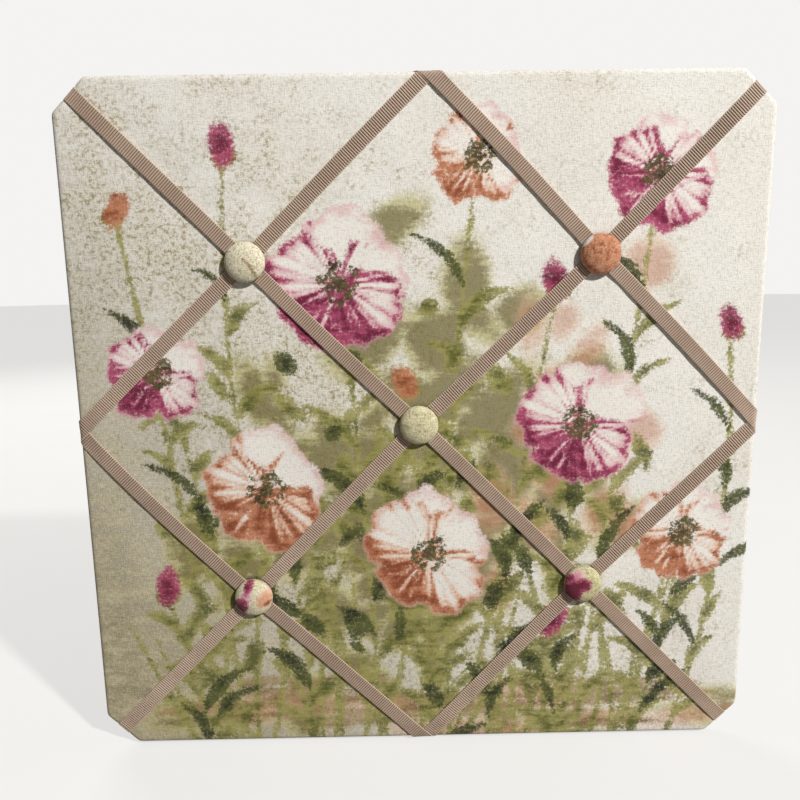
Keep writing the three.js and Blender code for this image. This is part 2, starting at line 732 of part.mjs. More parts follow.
// Thread tie: over the wire of the eye, down both needle holes and knotted behind the core
function buttonTie(crossing) {
  const hug = WIRE_RADIUS + SEAT + THREAD_RADIUS;
  const behind = CORE_BACK - SEAT - KNOT_RADIUS;
  const half = [
    [hug * Math.sin(Math.PI / 6), EYE_DEPTH + hug * Math.cos(Math.PI / 6)],
    [hug * Math.sin(Math.PI / 3), EYE_DEPTH + hug * Math.cos(Math.PI / 3)],
    [THREAD_SPREAD, CORE_FRONT + SEAT],
    [THREAD_SPREAD, CORE_BACK],
    [THREAD_SPREAD - THREAD_RADIUS, behind],
    [KNOT_RADIUS, behind],
  ];
  const other = half.map(([z, depth]) => [-z, depth]).reverse();
  const path = [[0, EYE_DEPTH + hug], ...half, [0, behind], ...other];
  const knot = half.length + 1;
  const points = path.map(([z, depth]) => spot(crossing.x, crossing.z + z, depth));
  const radiusAt = (k) => (k === knot ? KNOT_RADIUS : THREAD_RADIUS);
  return tube(points, radiusAt, new THREE.Vector3(1, 0, 0), true);
}

place("fabric_cover", coverCloth(), MATERIALS.cover);
place("padding", padding(), MATERIALS.pad);
place("core_board", coreBoard(), MATERIALS.core);
place("backing_sheet", backingSheet(), MATERIALS.backing);
for (const [name, row] of [["upper", 1], ["middle", 0], ["lower", -1]]) {
  place(`magnetic_strip_${name}`, magneticStrip(row * STRIP_PITCH), MATERIALS.strip);
}
for (const [name, run] of Object.entries(RIBBONS)) {
  place(name, ribbon(run), MATERIALS.ribbon);
}
for (const [name, crossing] of Object.entries(CROSSINGS)) {
  place(`button_cap_${name}`, buttonCap(crossing), clothMaterial(crossing.cloth));
  place(`button_dome_${name}`, buttonDome(crossing), MATERIALS.dome);
  place(`button_plate_${name}`, buttonPlate(crossing), MATERIALS.dome);
  place(`button_shank_${name}`, buttonShank(crossing), MATERIALS.wire);
  place(`button_tie_${name}`, buttonTie(crossing), MATERIALS.thread);
}

export default board;
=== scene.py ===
import math

import bpy
import numpy as np
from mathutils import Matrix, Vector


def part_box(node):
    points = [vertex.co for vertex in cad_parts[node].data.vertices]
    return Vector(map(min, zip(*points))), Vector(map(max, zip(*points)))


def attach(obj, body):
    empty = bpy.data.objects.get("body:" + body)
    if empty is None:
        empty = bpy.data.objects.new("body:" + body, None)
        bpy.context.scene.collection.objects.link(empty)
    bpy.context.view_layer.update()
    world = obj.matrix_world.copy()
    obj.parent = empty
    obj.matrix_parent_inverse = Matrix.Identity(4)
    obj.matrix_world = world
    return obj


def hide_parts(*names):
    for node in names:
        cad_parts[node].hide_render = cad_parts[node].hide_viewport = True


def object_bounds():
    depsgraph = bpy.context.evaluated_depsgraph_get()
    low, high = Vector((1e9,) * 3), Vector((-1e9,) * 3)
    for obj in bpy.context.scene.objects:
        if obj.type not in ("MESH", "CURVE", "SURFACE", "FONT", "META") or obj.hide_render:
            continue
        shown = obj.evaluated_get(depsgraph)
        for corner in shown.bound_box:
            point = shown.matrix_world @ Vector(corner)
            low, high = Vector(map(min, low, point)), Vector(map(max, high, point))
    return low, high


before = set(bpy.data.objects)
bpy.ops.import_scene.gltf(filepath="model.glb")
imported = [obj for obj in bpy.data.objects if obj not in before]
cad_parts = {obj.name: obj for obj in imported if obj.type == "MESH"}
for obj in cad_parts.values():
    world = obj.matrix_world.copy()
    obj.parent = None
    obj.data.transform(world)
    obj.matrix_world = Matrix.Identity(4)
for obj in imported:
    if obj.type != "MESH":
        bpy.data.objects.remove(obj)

# The looks of a padded memo board: printed cloth, grosgrain ribbons, covered buttons and the plain back.
# Lengths are millimetres, as in the part: x runs right, z up, and depth forward from the door.

CAD_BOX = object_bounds()
SCENE = bpy.context.scene
MM = 0.001  # metres in a millimetre


def depth_behind(node):
    """Depth of a CAD node's back face."""
    return -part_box(node)[1].y / MM


# Outline and layers of the board
BOARD_SIDE = 305
CORNER_CUT = 14.5
CORNER_ROUND = 4
CLOTH = 0.4  # its thickness
PAD_THICKNESS = 2
SEAT = 0.15  # soft contact of two layers
CROWN = 0.6
DIMPLE_DEPTH = 0.5
DIMPLE_REACH = 14
TURN_IN = 22
COVER_BACK = depth_behind("fabric_cover")
PAD_BACK = depth_behind("padding")
COVER_FRONT = PAD_BACK + PAD_THICKNESS + SEAT + CLOTH

# The cloth's path round the rim
HALF = BOARD_SIDE / 2
FRONT_ROLL = PAD_THICKNESS + CLOTH
BACK_ROLL = CLOTH + 2 * SEAT
ROLL_END = FRONT_ROLL * math.pi / 2
SIDE_END = ROLL_END + COVER_FRONT - FRONT_ROLL - COVER_BACK - BACK_ROLL
WRAP_END = SIDE_END + BACK_ROLL * math.pi / 2
INSIDE_CLOTH = CLOTH + SEAT

# Ribbons; here and below, a span runs from where a change begins to where it ends
RIBBON_WIDTH = 6.6
RIBBON_THICKNESS = 0.4
RIBBON_SEAT = 0.03
RIBBON_FLOAT = 0.6  # rise of a stretch's middle, bridging the soft fields
FLOAT_ROUND = 0.5  # below 1, a stretch rises sooner from its stops
RIBBON_LAYER = RIBBON_THICKNESS + RIBBON_SEAT
RIBBON_TAIL = 16
RIB_PITCH = 1.07
RIB_HEIGHT = 0.52
RIB_PRESSED = 0.3  # share of it lost at a crossing and at the rim
RIB_SUNK = 0.75  # share of it that lies within the ribbon's thickness
RIB_SPAN = (0.1, 0.75)  # of its sine, from the groove to the full rib
RIB_EDGE = 0.05  # how far the ribs wave the ribbon's edges
RIB_STEPS = 8
LINE_STEPS = 200
TURN_STEPS = 12  # to either side, over which a ribbon's direction is evened out
LEVEL_SPAN = (6, 16)  # from a crossing, where a ribbon comes down to the cloth
SELVEDGE_SPAN = (0.89 * RIBBON_WIDTH / 2, 0.96 * RIBBON_WIDTH / 2)

# Covered buttons
CAP_RADIUS = 8.7
CAP_HEIGHT = 5.2
CAP_EQUATOR = 1.5
EDGE_ROUND = 0.8
CAP_CLOTH = 0.4
CAP_TUCK = 1.5
TUCK_INSIDE = 7.1
CAP_SEGMENTS = 96
DOME_STEPS = 28
DOME_INSIDE_STEPS = 12
CAP_EDGE_STEPS = 5
PUCKERS = 27
PUCKER_DEPTH = 0.07
PUCKER_SPAN = (7.5, 11)  # along the cloth from the top
PUCKER_SWAY = 1.3  # unevenness of their places
BUTTON_AGE = 0.3
RIM_SOIL_AND_SHADE = 0.3  # how much darker the cloth is at a button's foot: painted shade where the cap turns under, with some soiling
RIM_SOIL_AND_SHADE_SPAN = (CAP_RADIUS, CAP_RADIUS + 2)
SCRAP_SPREAD = 10  # times a button's place, is where its scrap lies in the cloth

# Soft form that the cloth adds between the ribbons
PUFF = 0.32  # rise of a field over the ribbon lines
PUFF_SPAN = (4, 30)
PUFF_RIM_SPAN = (0, 18)  # from the rim inwards
BULGE = 0.7  # rise of the padding that each button pushes up round itself
BULGE_RISE_SPAN = (0.85 * CAP_RADIUS, 1.1 * CAP_RADIUS)
BULGE_FALL_SPAN = (10, 30)
RIPPLE = 0.05  # slow unevenness of the padding
RIPPLE_WAVES = ((0.21, 0.13, 0), (-0.11, 0.17, 1), (0.37, -0.29, 0))  # turn in a mm of x and of z, start
PLEAT = 0.42  # height of the folds behind a corner
PLEAT_MEAN = 0.55  # share of it half way between a fold and the cloth beside it
PLEAT_REACH = 44  # degrees to either side of a corner's own direction
PLEAT_WAVES = 8  # in a full turn
PLEAT_SPAN = (0, 0.25)  # of the turned-in cloth, as a share
PRESS = 0.48  # how far a ribbon draws the cloth in at the rim
PRESS_SPAN = (2.6, 4.6)
PRESS_RIM_SPAN = (-8, 1)  # over the rim outwards
PRESS_END_SPAN = (0, 0.3)  # of the turned-in cloth, as a share

# Fineness of the cloth's mesh
CUT_STEPS = 6
ROUND_STEPS = 4
SIDE_STEPS = 232
COARSE = 6  # fine cells of the front for each cell inside
ROLL_STEPS = 6  # over the padding's edge
RIM_STEPS = 3  # down the side, round the back edge, and back up inside
TURN_IN_STEPS = 7
PAD_EVERY = 2  # fine cells of the front for each cell of the padding
PAD_ROLL_STEPS = 4

SLANT = math.sqrt(0.5)
CUT_DISTANCE = (BOARD_SIDE - CORNER_CUT) * SLANT
BUTTONS = ("upper_left", "upper_right", "centre", "lower_left", "lower_right")


def button_middle(name):
    """A button's x and z, from its metal dome."""
    low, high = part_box(f"button_dome_{name}")
    return np.array(((low.x + high.x) / 2, (low.z + high.z) / 2)) / MM


CROSSINGS = {name: button_middle(name) for name in BUTTONS}

# Where ribbons cross the rim: the way out, the distance from the centre, and the drift in half sides
ENDS = {
    "top": ((0, 1), HALF, 0.037),
    "right": ((1, 0), HALF, -0.01),
    "bottom": ((0, -1), HALF, -0.005),
    "left": ((-1, 0), HALF, 0.013),
    "cut_upper_left": ((-SLANT, SLANT), CUT_DISTANCE, 0.007),
    "cut_upper_right": ((SLANT, SLANT), CUT_DISTANCE, 0),
    "cut_lower_right": ((SLANT, -SLANT), CUT_DISTANCE, 0),
    "cut_lower_left": ((-SLANT, -SLANT), CUT_DISTANCE, 0),
}

# Each ribbon's stops, its level at each (1 lies over 0), and each stretch's bow to the left as a share of it
RIBBONS = {
    "ribbon_long_falling": (
        ("cut_upper_left", "upper_left", "centre", "lower_right", "cut_lower_right"),
        (0, 1, 1, 1, 0),
        (0, -0.008, 0.002, 0),
    ),
    "ribbon_long_rising": (
        ("cut_lower_left", "lower_left", "centre", "upper_right", "cut_upper_right"),
        (0, 0, 0, 0, 0),
        (0, 0.003, -0.003, 0),
    ),
    "ribbon_upper_left": (("left", "upper_left", "top"), (1, 0, 0), (0.003, 0.004)),
    "ribbon_upper_right": (("top", "upper_right", "right"), (1, 1, 1), (0.008, 0.009)),
    "ribbon_lower_left": (("left", "lower_left", "bottom"), (0, 1, 1), (-0.014, 0.002)),
    "ribbon_lower_right": (("bottom", "lower_right", "right"), (0, 0, 0), (0.003, 0)),
}

# Camera, matched to the photograph
CAMERA_PLACE = (-11, -318.7, 66.8)
CAMERA_TURN = (80.34, 0.88, -0.60)  # degrees
CAMERA_LENS = 31.56  # on a sensor 36 mm wide
CAMERA_NEAR = 10


# Forms shared by the pieces


def smooth(value, low, high):
    """0 below low, 1 above high and an even change between."""
    share = np.clip((value - low) / (high - low), 0, 1)
    return share * share * (3 - 2 * share)


def heading(turn):
    """The way at a turn from the right."""
    return np.stack((np.cos(turn), np.sin(turn)), axis=-1)


def front_depth(flat):
    """Depth of the cloth's front: a low crown, drawn in round each button."""
    x, z = flat.T
    rim = HALF - FRONT_ROLL
    depth = COVER_FRONT + CROWN * (1 - (x / rim) ** 2) * (1 - (z / rim) ** 2)
    for middle in CROSSINGS.values():
        away = np.hypot(*(flat - middle).T) / DIMPLE_REACH
        depth = depth - DIMPLE_DEPTH * np.exp(-(away**2))
    return depth


def soft_front(flat):
    """Depth of the cloth's front with the padding that the buttons push up."""
    depth = front_depth(flat)
    for middle in CROSSINGS.values():
        away = np.hypot(*(flat - middle).T)
        rise = BULGE * smooth(away, *BULGE_RISE_SPAN)
        depth = depth + rise * (1 - smooth(away, *BULGE_FALL_SPAN))
    return depth


def rim_profile(run, lift):
    """Offset from the outline and depth at a run over the rim, lifted off the cloth."""
    run = np.asarray(run, float)
    front = run / FRONT_ROLL
    back = (run - SIDE_END) / BACK_ROLL
    places = [run <= ROLL_END, run <= SIDE_END, run <= WRAP_END]
    offsets = [
        (FRONT_ROLL + lift) * np.sin(front) - FRONT_ROLL,
        lift + 0 * run,
        (BACK_ROLL + lift) * np.cos(back) - BACK_ROLL,
    ]
    depths = [
        COVER_FRONT - FRONT_ROLL + (FRONT_ROLL + lift) * np.cos(front),
        COVER_FRONT - FRONT_ROLL - (run - ROLL_END),
        COVER_BACK + BACK_ROLL - (BACK_ROLL + lift) * np.sin(back),
    ]
    offset = np.select(places, offsets, -BACK_ROLL - (run - WRAP_END))
    depth = np.select(places, depths, COVER_BACK - lift)
    return offset, depth


def over_rim(flat):
    """How far flat points lie past the front's rim, less than 0 on the front, and the way out there."""
    ways, distances, _ = zip(*ENDS.values())
    past = np.array([flat @ way - (distance - FRONT_ROLL) for way, distance in zip(ways, distances)])
    return past.max(axis=0), np.array(ways)[past.argmax(axis=0)]


def ribbon_marks(stops):
    """A ribbon's stops on the flat cloth, with the end of its tail past each edge."""
    marks = [flat_stop(name) for name in stops]

    def tail(name, end, inner):
        ahead = (end - inner) / np.hypot(*(end - inner))
        run = WRAP_END + RIBBON_TAIL - FRONT_ROLL
        return end + ahead * run / (ahead @ np.array(ENDS[name][0]))

    return [tail(stops[0], marks[0], marks[1]), *marks, tail(stops[-1], marks[-1], marks[-2])]


def from_stretch(flat, start, end):
    """How far along a straight stretch flat points lie, as a share, and their distance from it."""
    along = end - start
    share = np.clip((flat - start) @ along / (along @ along), 0, 1)
    return share, np.hypot(*(flat - start - share[:, None] * along).T)


def ribbon_gap(flat):
    """Distance of flat points from the nearest ribbon's middle line."""
    nearest = np.full(len(flat), np.inf)
    for stops, _, _ in RIBBONS.values():
        marks = ribbon_marks(stops)
        for start, end in zip(marks, marks[1:]):
            nearest = np.minimum(nearest, from_stretch(flat, start, end)[1])
    return nearest


def pressed(flat):
    """How far the ribbons draw the cloth in at and behind the rim."""
    near = 1 - smooth(ribbon_gap(flat), *PRESS_SPAN)
    return PRESS * near * smooth(over_rim(flat)[0], *PRESS_RIM_SPAN)


def wrapped(flat, lift):
    """Points off the cloth laid flat, as x, z and depth once it is wrapped round the board."""
    run, out = over_rim(flat)
    run = np.maximum(run, 0)
    lift = lift - pressed(flat)
    offset, depth = rim_profile(run, lift)
    over = run > 0
    shift = np.where(over, offset + FRONT_ROLL - run, 0)
    place = flat + out * shift[:, None]
    depth = np.where(over, depth, soft_front(flat) + lift)
    return np.c_[place, depth]


def spots(place, depth):
    """Points in the frame, in metres, from their x and z and their depth."""
    x, z = place.T
    return np.c_[x, 0 * x - depth, z] * MM


def flat_stop(name):
    """A ribbon's stop on the flat cloth: a button crossing, or where it crosses the board's outline."""
    if name in CROSSINGS:
        return CROSSINGS[name]
    way, distance, drift = ENDS[name]
    return np.array(way) * distance + np.array((way[1], -way[0])) * drift * HALF


def ring_quads(first, second):
    """Quads between two rings of vertex numbers that run the same way."""
    return np.c_[first, np.roll(first, -1), np.roll(second, -1), second].tolist()


def tube_quads(rings):
    """Quads between rings that follow each other."""
    return [quad for first, second in zip(rings, rings[1:]) for quad in ring_quads(first, second)]


def grid_number(start, cells):
    """Vertex numbers of a square grid, row by row."""
    return start + np.arange((cells + 1) ** 2).reshape(cells + 1, -1)


def grid_quads(number):
    """Quads of a grid of vertex numbers, facing front if its rows go up."""
    corners = (number[:-1, :-1], number[:-1, 1:], number[1:, 1:], number[1:, :-1])
    return np.stack(corners, axis=-1).reshape(-1, 4).tolist()


def new_object(name, data):
    """An object of the scene."""
    made = bpy.data.objects.new(name, data)
    SCENE.collection.objects.link(made)
    return made


def new_mesh(name, points, faces, finish):
    """A mesh object with one material."""
    mesh = bpy.data.meshes.new(name)
    mesh.from_pydata(points.tolist(), [], faces)
    mesh.shade_smooth()
    mesh.materials.append(finish.material)
    return new_object(name, mesh)


def new_piece(name, points, faces, finish, slot, *nodes):
    """A mesh piece that rides on the board and stands for CAD nodes."""
    piece = new_mesh(name, points, faces, finish)
    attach(piece, "root")
    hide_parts(*nodes)
    return piece


def give(piece, name, values):
    """Stores a number, or a vector, for each point of a piece."""
    values = np.asarray(values, np.float32)
    kind, field = ("FLOAT", "value") if values.ndim == 1 else ("FLOAT_VECTOR", "vector")
    layer = piece.data.attributes.new(name, kind, "POINT")
    layer.data.foreach_set(field, values.ravel())


# Materials


def ink(code):
    """A colour written as #rrggbb, in the renderer's linear numbers."""
    parts = [int(code[k : k + 2], 16) / 255 for k in (1, 3, 5)]
    return (*[p / 12.92 if p <= 0.04045 else ((p + 0.055) / 1.055) ** 2.4 for p in parts], 1)


class Nodes:
    """Short calls for the nodes of a material or of the world."""

    def __init__(self, owner, shader):
        owner.use_nodes = True
        self.tree = owner.node_tree
        self.shader = self.tree.nodes[shader]

    def feed(self, socket, value):
        """Links a socket to another, or sets its colour or number."""
        if isinstance(value, bpy.types.NodeSocket):
            self.tree.links.new(value, socket)
        else:
            socket.default_value = ink(value) if isinstance(value, str) else value

    def shade(self, socket, value):
        """Feeds a socket of the shader itself."""
        self.feed(self.shader.inputs[socket], value)

    def made(self, kind, values, output=0, **settings):
        """An output of a new node, with its settings and the values of its inputs."""
        node = self.tree.nodes.new(f"ShaderNode{kind}")
        for name, value in settings.items():
            setattr(node, name, value)
        for socket, value in values.items():
            self.feed(node.inputs[socket], value)
        return node.outputs[output]

    def math(self, operation, first, second=0.0):
        """One step of arithmetic."""
        return self.made("Math", {0: first, 1: second}, operation=operation)

    def total(self, *terms):
        """The sum of values, each times its weight."""
        first, *others = [self.math("MULTIPLY", value, weight) for value, weight in terms]
        for other in others:
            first = self.math("ADD", first, other)
        return first

    def ramp(self, value, low, high, to_low=0.0, to_high=1.0):
        """An even change while a value goes from low to high."""
        values = {"Value": value, "From Min": low, "From Max": high, "To Min": to_low, "To Max": to_high}
        return self.made("MapRange", values, interpolation_type="SMOOTHSTEP")

    def seen(self):
        """1 where the camera sees this, itself or mirrored in something glossy."""
        rays = [self.made("LightPath", {}, ray) for ray in ("Is Camera Ray", "Is Glossy Ray")]
        return self.math("MAXIMUM", *rays)


class Finish(Nodes):
    """A material; its place is in millimetres, on the cloth laid flat or in the board's own frame."""

    def __init__(self, name, roughness, laid_flat=False, **fixed):
        self.material = bpy.data.materials.new(name)
        super().__init__(self.material, "Principled BSDF")
        self.shade("Roughness", roughness)
        for socket, value in fixed.items():
            self.shade(socket.replace("_", " "), value)
        if laid_flat:
            self.place = self.stored("flat", "Vector")
        else:
            self.place = self.scaled(self.made("TexCoord", {}, "Object"), 1 / MM, 1 / MM, 1 / MM)

    def stored(self, name, kind="Fac"):
        """A number, or a vector, that is stored with each point of the piece."""
        return self.made("Attribute", {}, kind, attribute_name=name)

    def scaled(self, vector, x, y=1.0, z=1.0):
        """A place times a factor for each axis."""
        return self.made("VectorMath", {0: vector, 1: (x, y, z)}, operation="MULTIPLY")

    def axis(self, number):
        """One axis of the place."""
        return self.made("SeparateXYZ", {0: self.place}, number)

    def sine(self, value, pitch):
        """A sine of a length, from -1 to 1."""
        return self.math("SINE", self.math("MULTIPLY", value, math.tau / pitch))

    def noise(self, size, detail=2.0, roughness=0.5, along=None):
        """Noise from 0 to 1 whose grains have about the given size, or another size along x."""
        place = self.scaled(self.place, size / along) if along else self.place
        values = {"Vector": place, "Scale": 1 / size, "Detail": detail, "Roughness": roughness}
        return self.made("TexNoise", values)

    def mix(self, share, first, second, blend="MIX"):
        """The first colour with a share of the second over it."""
        values = {0: share, 6: first, 7: second}
        return self.made("Mix", values, 2, data_type="RGBA", blend_type=blend)

    def tint(self, tone, over, value, low, high, most=1.0):
        """A colour with another over it, while a value goes from low to high."""
        return self.mix(self.ramp(value, low, high, 0, most), tone, over)

    def colour(self, value):
        """Sets the base colour."""
        self.shade("Base Color", value)

    def bump(self, height, depth, strength=1.0):
        """Relief of the given depth in millimetres."""
        values = {"Height": height, "Distance": depth * MM, "Strength": strength}
        self.shade("Normal", self.made("Bump", values))


# Paints of the print, in the order they are laid: light tone, dark tone, cover, softness of the edge
PAINTS = {
    "wash": ("#c4bd84", "#776d2f", 0.85, 6),
    "peach": ("#dcb99d", "#c48a6a", 0.6, 6),
    "umber": ("#ab926a", "#6c5132", 0.85, 2.4),
    "leaf": ("#9f9958", "#565a22", 0.95, 1.4),
    "deep": ("#555a2b", "#1d2212", 0.97, 1.4),
    "blush": ("#e3c3c0", "#f0ebe4", 0.95, 1.8),
    "coral": ("#e4c2ab", "#d09a7b", 0.9, 4),
    "clay": ("#bf7c58", "#863f1f", 0.96, 2.4),
    "pink": ("#e2bcbf", "#cc8798", 0.9, 4),
    "rose": ("#ae466b", "#6a0933", 0.97, 2.4),
    "heart": ("#5f5831", "#211f15", 0.97, 1),
    "light": ("#efe9df", "#f3efe8", 0.95, 1.2),
}

# Yarn of the printed cloth
YARN_WIDTH = 0.55
YARN_LENGTH = 2.4  # over which a yarn keeps its tone
WEAVE_PITCH = 0.9
WEAVE_DEPTH = 0.16


def printed_cloth(name, scale, fresh, faded, flecked):
    """Pale cloth with a stippled print, aged, worn, flecked and darkened in places with painted shade; scale
    sets the size of its patches.
    """
    look = Finish(name, 0.92, True, Specular_IOR_Level=0.2, Sheen_Weight=0.1, Sheen_Roughness=0.6)
    slow = look.noise(46 * scale, 3)
    patch = look.noise(12 * scale, 6, 0.62)
    brush = look.noise(2.6 * scale, 5, 0.65, along=2.6 * scale / 0.3)
    sweep = look.noise(6 * scale, 4, 0.55, along=30 * scale)
    fine = look.noise(0.5, 2, 0.6)
    warp = look.noise(YARN_LENGTH, along=YARN_WIDTH)
    weft = look.noise(YARN_WIDTH, along=YARN_LENGTH)
    threads = look.math("ADD", warp, weft)
    worn = look.total((patch, 0.5), (brush, 0.35), (sweep, 0.35))
    crowd = look.total((patch, 0.7), (slow, 0.3))

    tone = look.mix(look.ramp(slow, 0.35, 0.7), fresh, faded)
    tone = soiled_and_shaded(look, tone, worn)
    tone = speckled(look, tone, scale, crowd, flecked)
    tone = look.tint(tone, "#8f856c", fine, 0.45, 0.75, 0.3)
    tone = look.tint(tone, "#f6f2eb", threads, 0.98, 1.25, 0.2)
    tone = painted_over(look, tone, scale, worn, fine)
    look.colour(look.mix(look.ramp(threads, 0.7, 1.05, 0.25, 0), tone, "#857b64", "MULTIPLY"))
    weave = look.math("MULTIPLY", look.sine(look.axis(0), WEAVE_PITCH), look.sine(look.axis(1), WEAVE_PITCH))
    look.bump(look.total((weave, 0.15), (threads, 1.0)), WEAVE_DEPTH, 0.7)
    return look


def soiled_and_shaded(look, tone, worn):
    """Dirt where the cloth is old and worn, and painted shade where the stored field darkens it towards the
    lower left and at a button's foot.
    """
    # The stored field is part yellowing, part painted shade, so this darkening is partly painted shade.
    stain_and_shade = look.ramp(look.math("ADD", look.stored("age_and_shade"), worn), 0.7, 1.6)
    dirt_and_shade = look.mix(look.ramp(worn, 0.46, 0.74), "#958a68", "#c3b999")
    return look.mix(stain_and_shade, tone, dirt_and_shade)


def speckled(look, tone, scale, crowd, flecked):
    """Olive flecks, thickest where they crowd and where the stored yellowing and painted shade is middling.
    """
    age_and_shade = look.stored("age_and_shade")
    flecks = look.noise(2.2 * scale, 5, 0.78)
    crowd = look.math("ADD", crowd, look.ramp(age_and_shade, 0, 0.4, flecked, flecked + 0.15))
    crowd = look.math("SUBTRACT", crowd, look.ramp(age_and_shade, 0.45, 0.8, 0, 0.16))
    olive = look.mix(look.ramp(age_and_shade, 0.25, 0.65), "#9a8a50", "#857b60")
    tone = look.tint(tone, olive, flecks, 0.4, 0.64, 0.11)
    share = look.math("MULTIPLY", look.ramp(flecks, 0.475, 0.62), look.ramp(crowd, 0.5, 0.72, 0, 0.9))
    return look.mix(share, tone, olive)


def painted_over(look, tone, scale, worn, fine):
    """The paints in turn, ragged and stippled at the edge, dry in places and clouded where they are worn."""
    ragged = look.noise(7 * scale, 5, 0.6)
    grain = look.noise(0.65 + 0.75 * scale, 4, 0.6)
    edge = look.total((ragged, 5 * scale), (grain, 5 * scale), (fine, 2 * scale))
    edge = look.math("SUBTRACT", edge, 6 * scale)
    cloud = look.math("MULTIPLY", look.math("SUBTRACT", worn, 0.6), 32 * scale)
    dry = look.total((grain, 0.6), (fine, 0.4))
    for paint, (pale, dark, cover, softness) in PAINTS.items():
        inside = look.math("ADD", look.stored(paint), edge)
        mask = look.ramp(inside, -softness * scale / 2, softness * scale / 2)
        solid = look.total((dry, 1.0), (inside, 0.02 / scale))
        mask = look.math("MULTIPLY", mask, look.ramp(solid, 0.34, 0.54, 0.5 * cover, cover))
        depth = look.ramp(look.math("ADD", inside, cloud), -1 * scale, 6 * scale)
        tone = look.mix(mask, tone, look.mix(depth, pale, dark))
    return tone


def grosgrain():
    """Taupe ribbed ribbon with a soft sheen, its grooves darkened with painted shade."""
    look = Finish("grosgrain", 0.62, True, Sheen_Weight=0.2, Sheen_Roughness=0.4)
    rib = look.math("ABSOLUTE", look.sine(look.axis(0), 2 * RIB_PITCH))
    side = look.math("ABSOLUTE", look.axis(1))
    slow = look.noise(22, 2)
    fibre = look.noise(1.6, 3, along=0.25)
    tone = look.mix(look.ramp(slow, 0.35, 0.65), "#b89f8b", "#a9907c")
    tone = look.tint(tone, "#c4ae9d", fibre, 0.35, 0.7, 0.35)
    # Painted shade: darker in the grooves between the ribs.
    tone = look.mix(look.ramp(rib, 0.1, 0.7, 0.9, 0), tone, "#3e2f28")
    look.colour(look.tint(tone, "#d0bca6", side, *SELVEDGE_SPAN, 0.6))
    look.bump(fibre, 0.05, 0.6)
    return look


def wadding():
    """White fibre padding."""
    look = Finish("wadding", 0.95, Sheen_Weight=0.4)
    tangle = look.noise(1.4, 5, 0.7, along=3.5)
    look.colour(look.mix(tangle, "#e2ddd0", "#f6f3ea"))
    look.bump(tangle, 0.4, 0.8)
    return look


def hardboard():
    """Pressed brown fibre board."""
    look = Finish("hardboard", 0.7)
    fibre = look.noise(0.9, 5, 0.7, along=0.9 / 0.35)
    cloud = look.noise(30, 3)
    tone = look.mix(cloud, "#7c5a3b", "#6c4c30")
    look.colour(look.tint(tone, "#a07b54", fibre, 0.4, 0.75, 0.6))
    look.bump(fibre, 0.06)
    return look


def kraft_board():
    """Brown paper board with fibres, flecks and faint machine lines."""
    look = Finish("kraft_board", 0.82)
    fibre = look.noise(0.8, 5, 0.65, along=3.2)
    fleck = look.noise(1.7, 3, along=3.4)
    cloud = look.noise(45, 3)
    lines = look.math("ABSOLUTE", look.sine(look.axis(2), 5.2))
    tone = look.mix(look.ramp(cloud, 0.3, 0.7), "#bb9a6d", "#ad8b5e")
    tone = look.tint(tone, "#d3b68b", fibre, 0.45, 0.8, 0.55)
    tone = look.tint(tone, "#7b5c38", fleck, 0.66, 0.74, 0.55)
    look.colour(look.tint(tone, "#8a6a42", lines, 0.6, 1, 0.1))
    look.bump(fibre, 0.07)
    return look


def magnet_rubber():
    """Dark flexible magnet, with the fine lines of its rolling."""
    look = Finish("magnet_rubber", 0.55)
    lines = look.sine(look.axis(2), 1.9)
    dust = look.noise(0.9, 4, 0.7)
    scuff = look.noise(2.4, 4, along=20)
    tone = look.mix(look.ramp(scuff, 0.45, 0.75), "#2b2928", "#3d3a38")
    tone = look.tint(tone, "#191818", lines, 0.5, 1, 0.35)
    look.colour(look.tint(tone, "#6a6560", dust, 0.6, 0.8, 0.3))
    look.shade("Roughness", look.ramp(dust, 0.3, 0.7, 0.45, 0.7))
    look.bump(look.math("ADD", lines, dust), 0.05)
    return look


def plated_metal(name, bright, dull):
    """Thin plated metal with a fine grain."""
    look = Finish(name, 0.35, Metallic=1.0)
    cloud = look.noise(2.5, 4, 0.6)
    look.colour(look.mix(cloud, bright, dull))
    look.shade("Roughness", look.ramp(cloud, 0.3, 0.7, 0.26, 0.44))
    return look


def twisted_thread():
    """Waxed linen thread, darker in the grooves between its plies with painted shade."""
    look = Finish("twisted_thread", 0.8, Sheen_Weight=0.2)
    slope = look.total(*[(look.axis(number), 1.0) for number in range(3)])
    ply = look.sine(slope, 0.55)
    fuzz = look.noise(0.12, 3)
    # Painted shade: darker in the grooves between the plies.
    tone = look.mix(look.ramp(ply, -1, 1), "#c9bd9f", "#efe6d0")
    look.colour(look.tint(tone, "#fbf5e6", fuzz, 0.4, 0.8, 0.3))
    look.bump(ply, 0.1)
    return look


# The print: a meadow of open blooms, buds, lance leaves and grass on the flat cloth

BARE = -9.0  # a point this far outside a shape, in millimetres, or further
SEED = 12
PETALS = 5
STAMENS = 13
LIT_FROM = 0.9  # the way to the light in the print, from the right
PETAL_HIDES = 2.5  # how soon a petal hides the one under it
HALF_TONES = {"rose": "pink", "clay": "coral"}
STROKE_POINTS = 9
STEM_POINTS = 17
DEEP_LEAVES = 0.22  # share of a stem's leaves
MEADOW_FOOT = -172

# Shares of a bloom's radius
BLOOM_REACH = 1.4
PETAL_LENGTHS = (0.92, 1.12)
PETAL_WIDTHS = (1.05, 1.3)
HEART_RADIUS = 0.13
STAMEN_PLACES = (0.18, 0.3)

# Open blooms: paint, middle, radius and where the stem starts
BLOOMS = [
    ("rose", -34, 66, 29, -20),
    ("rose", 104, 110, 24, 72),
    ("rose", -116, 28, 21, -88),
    ("rose", 72, 2, 27, 44),
    ("clay", 26, 118, 19, 14),
    ("clay", -70, -26, 27, -56),
    ("clay", 121, -50, 22, 96),
    ("clay", 4, -58, 28, 8),
]

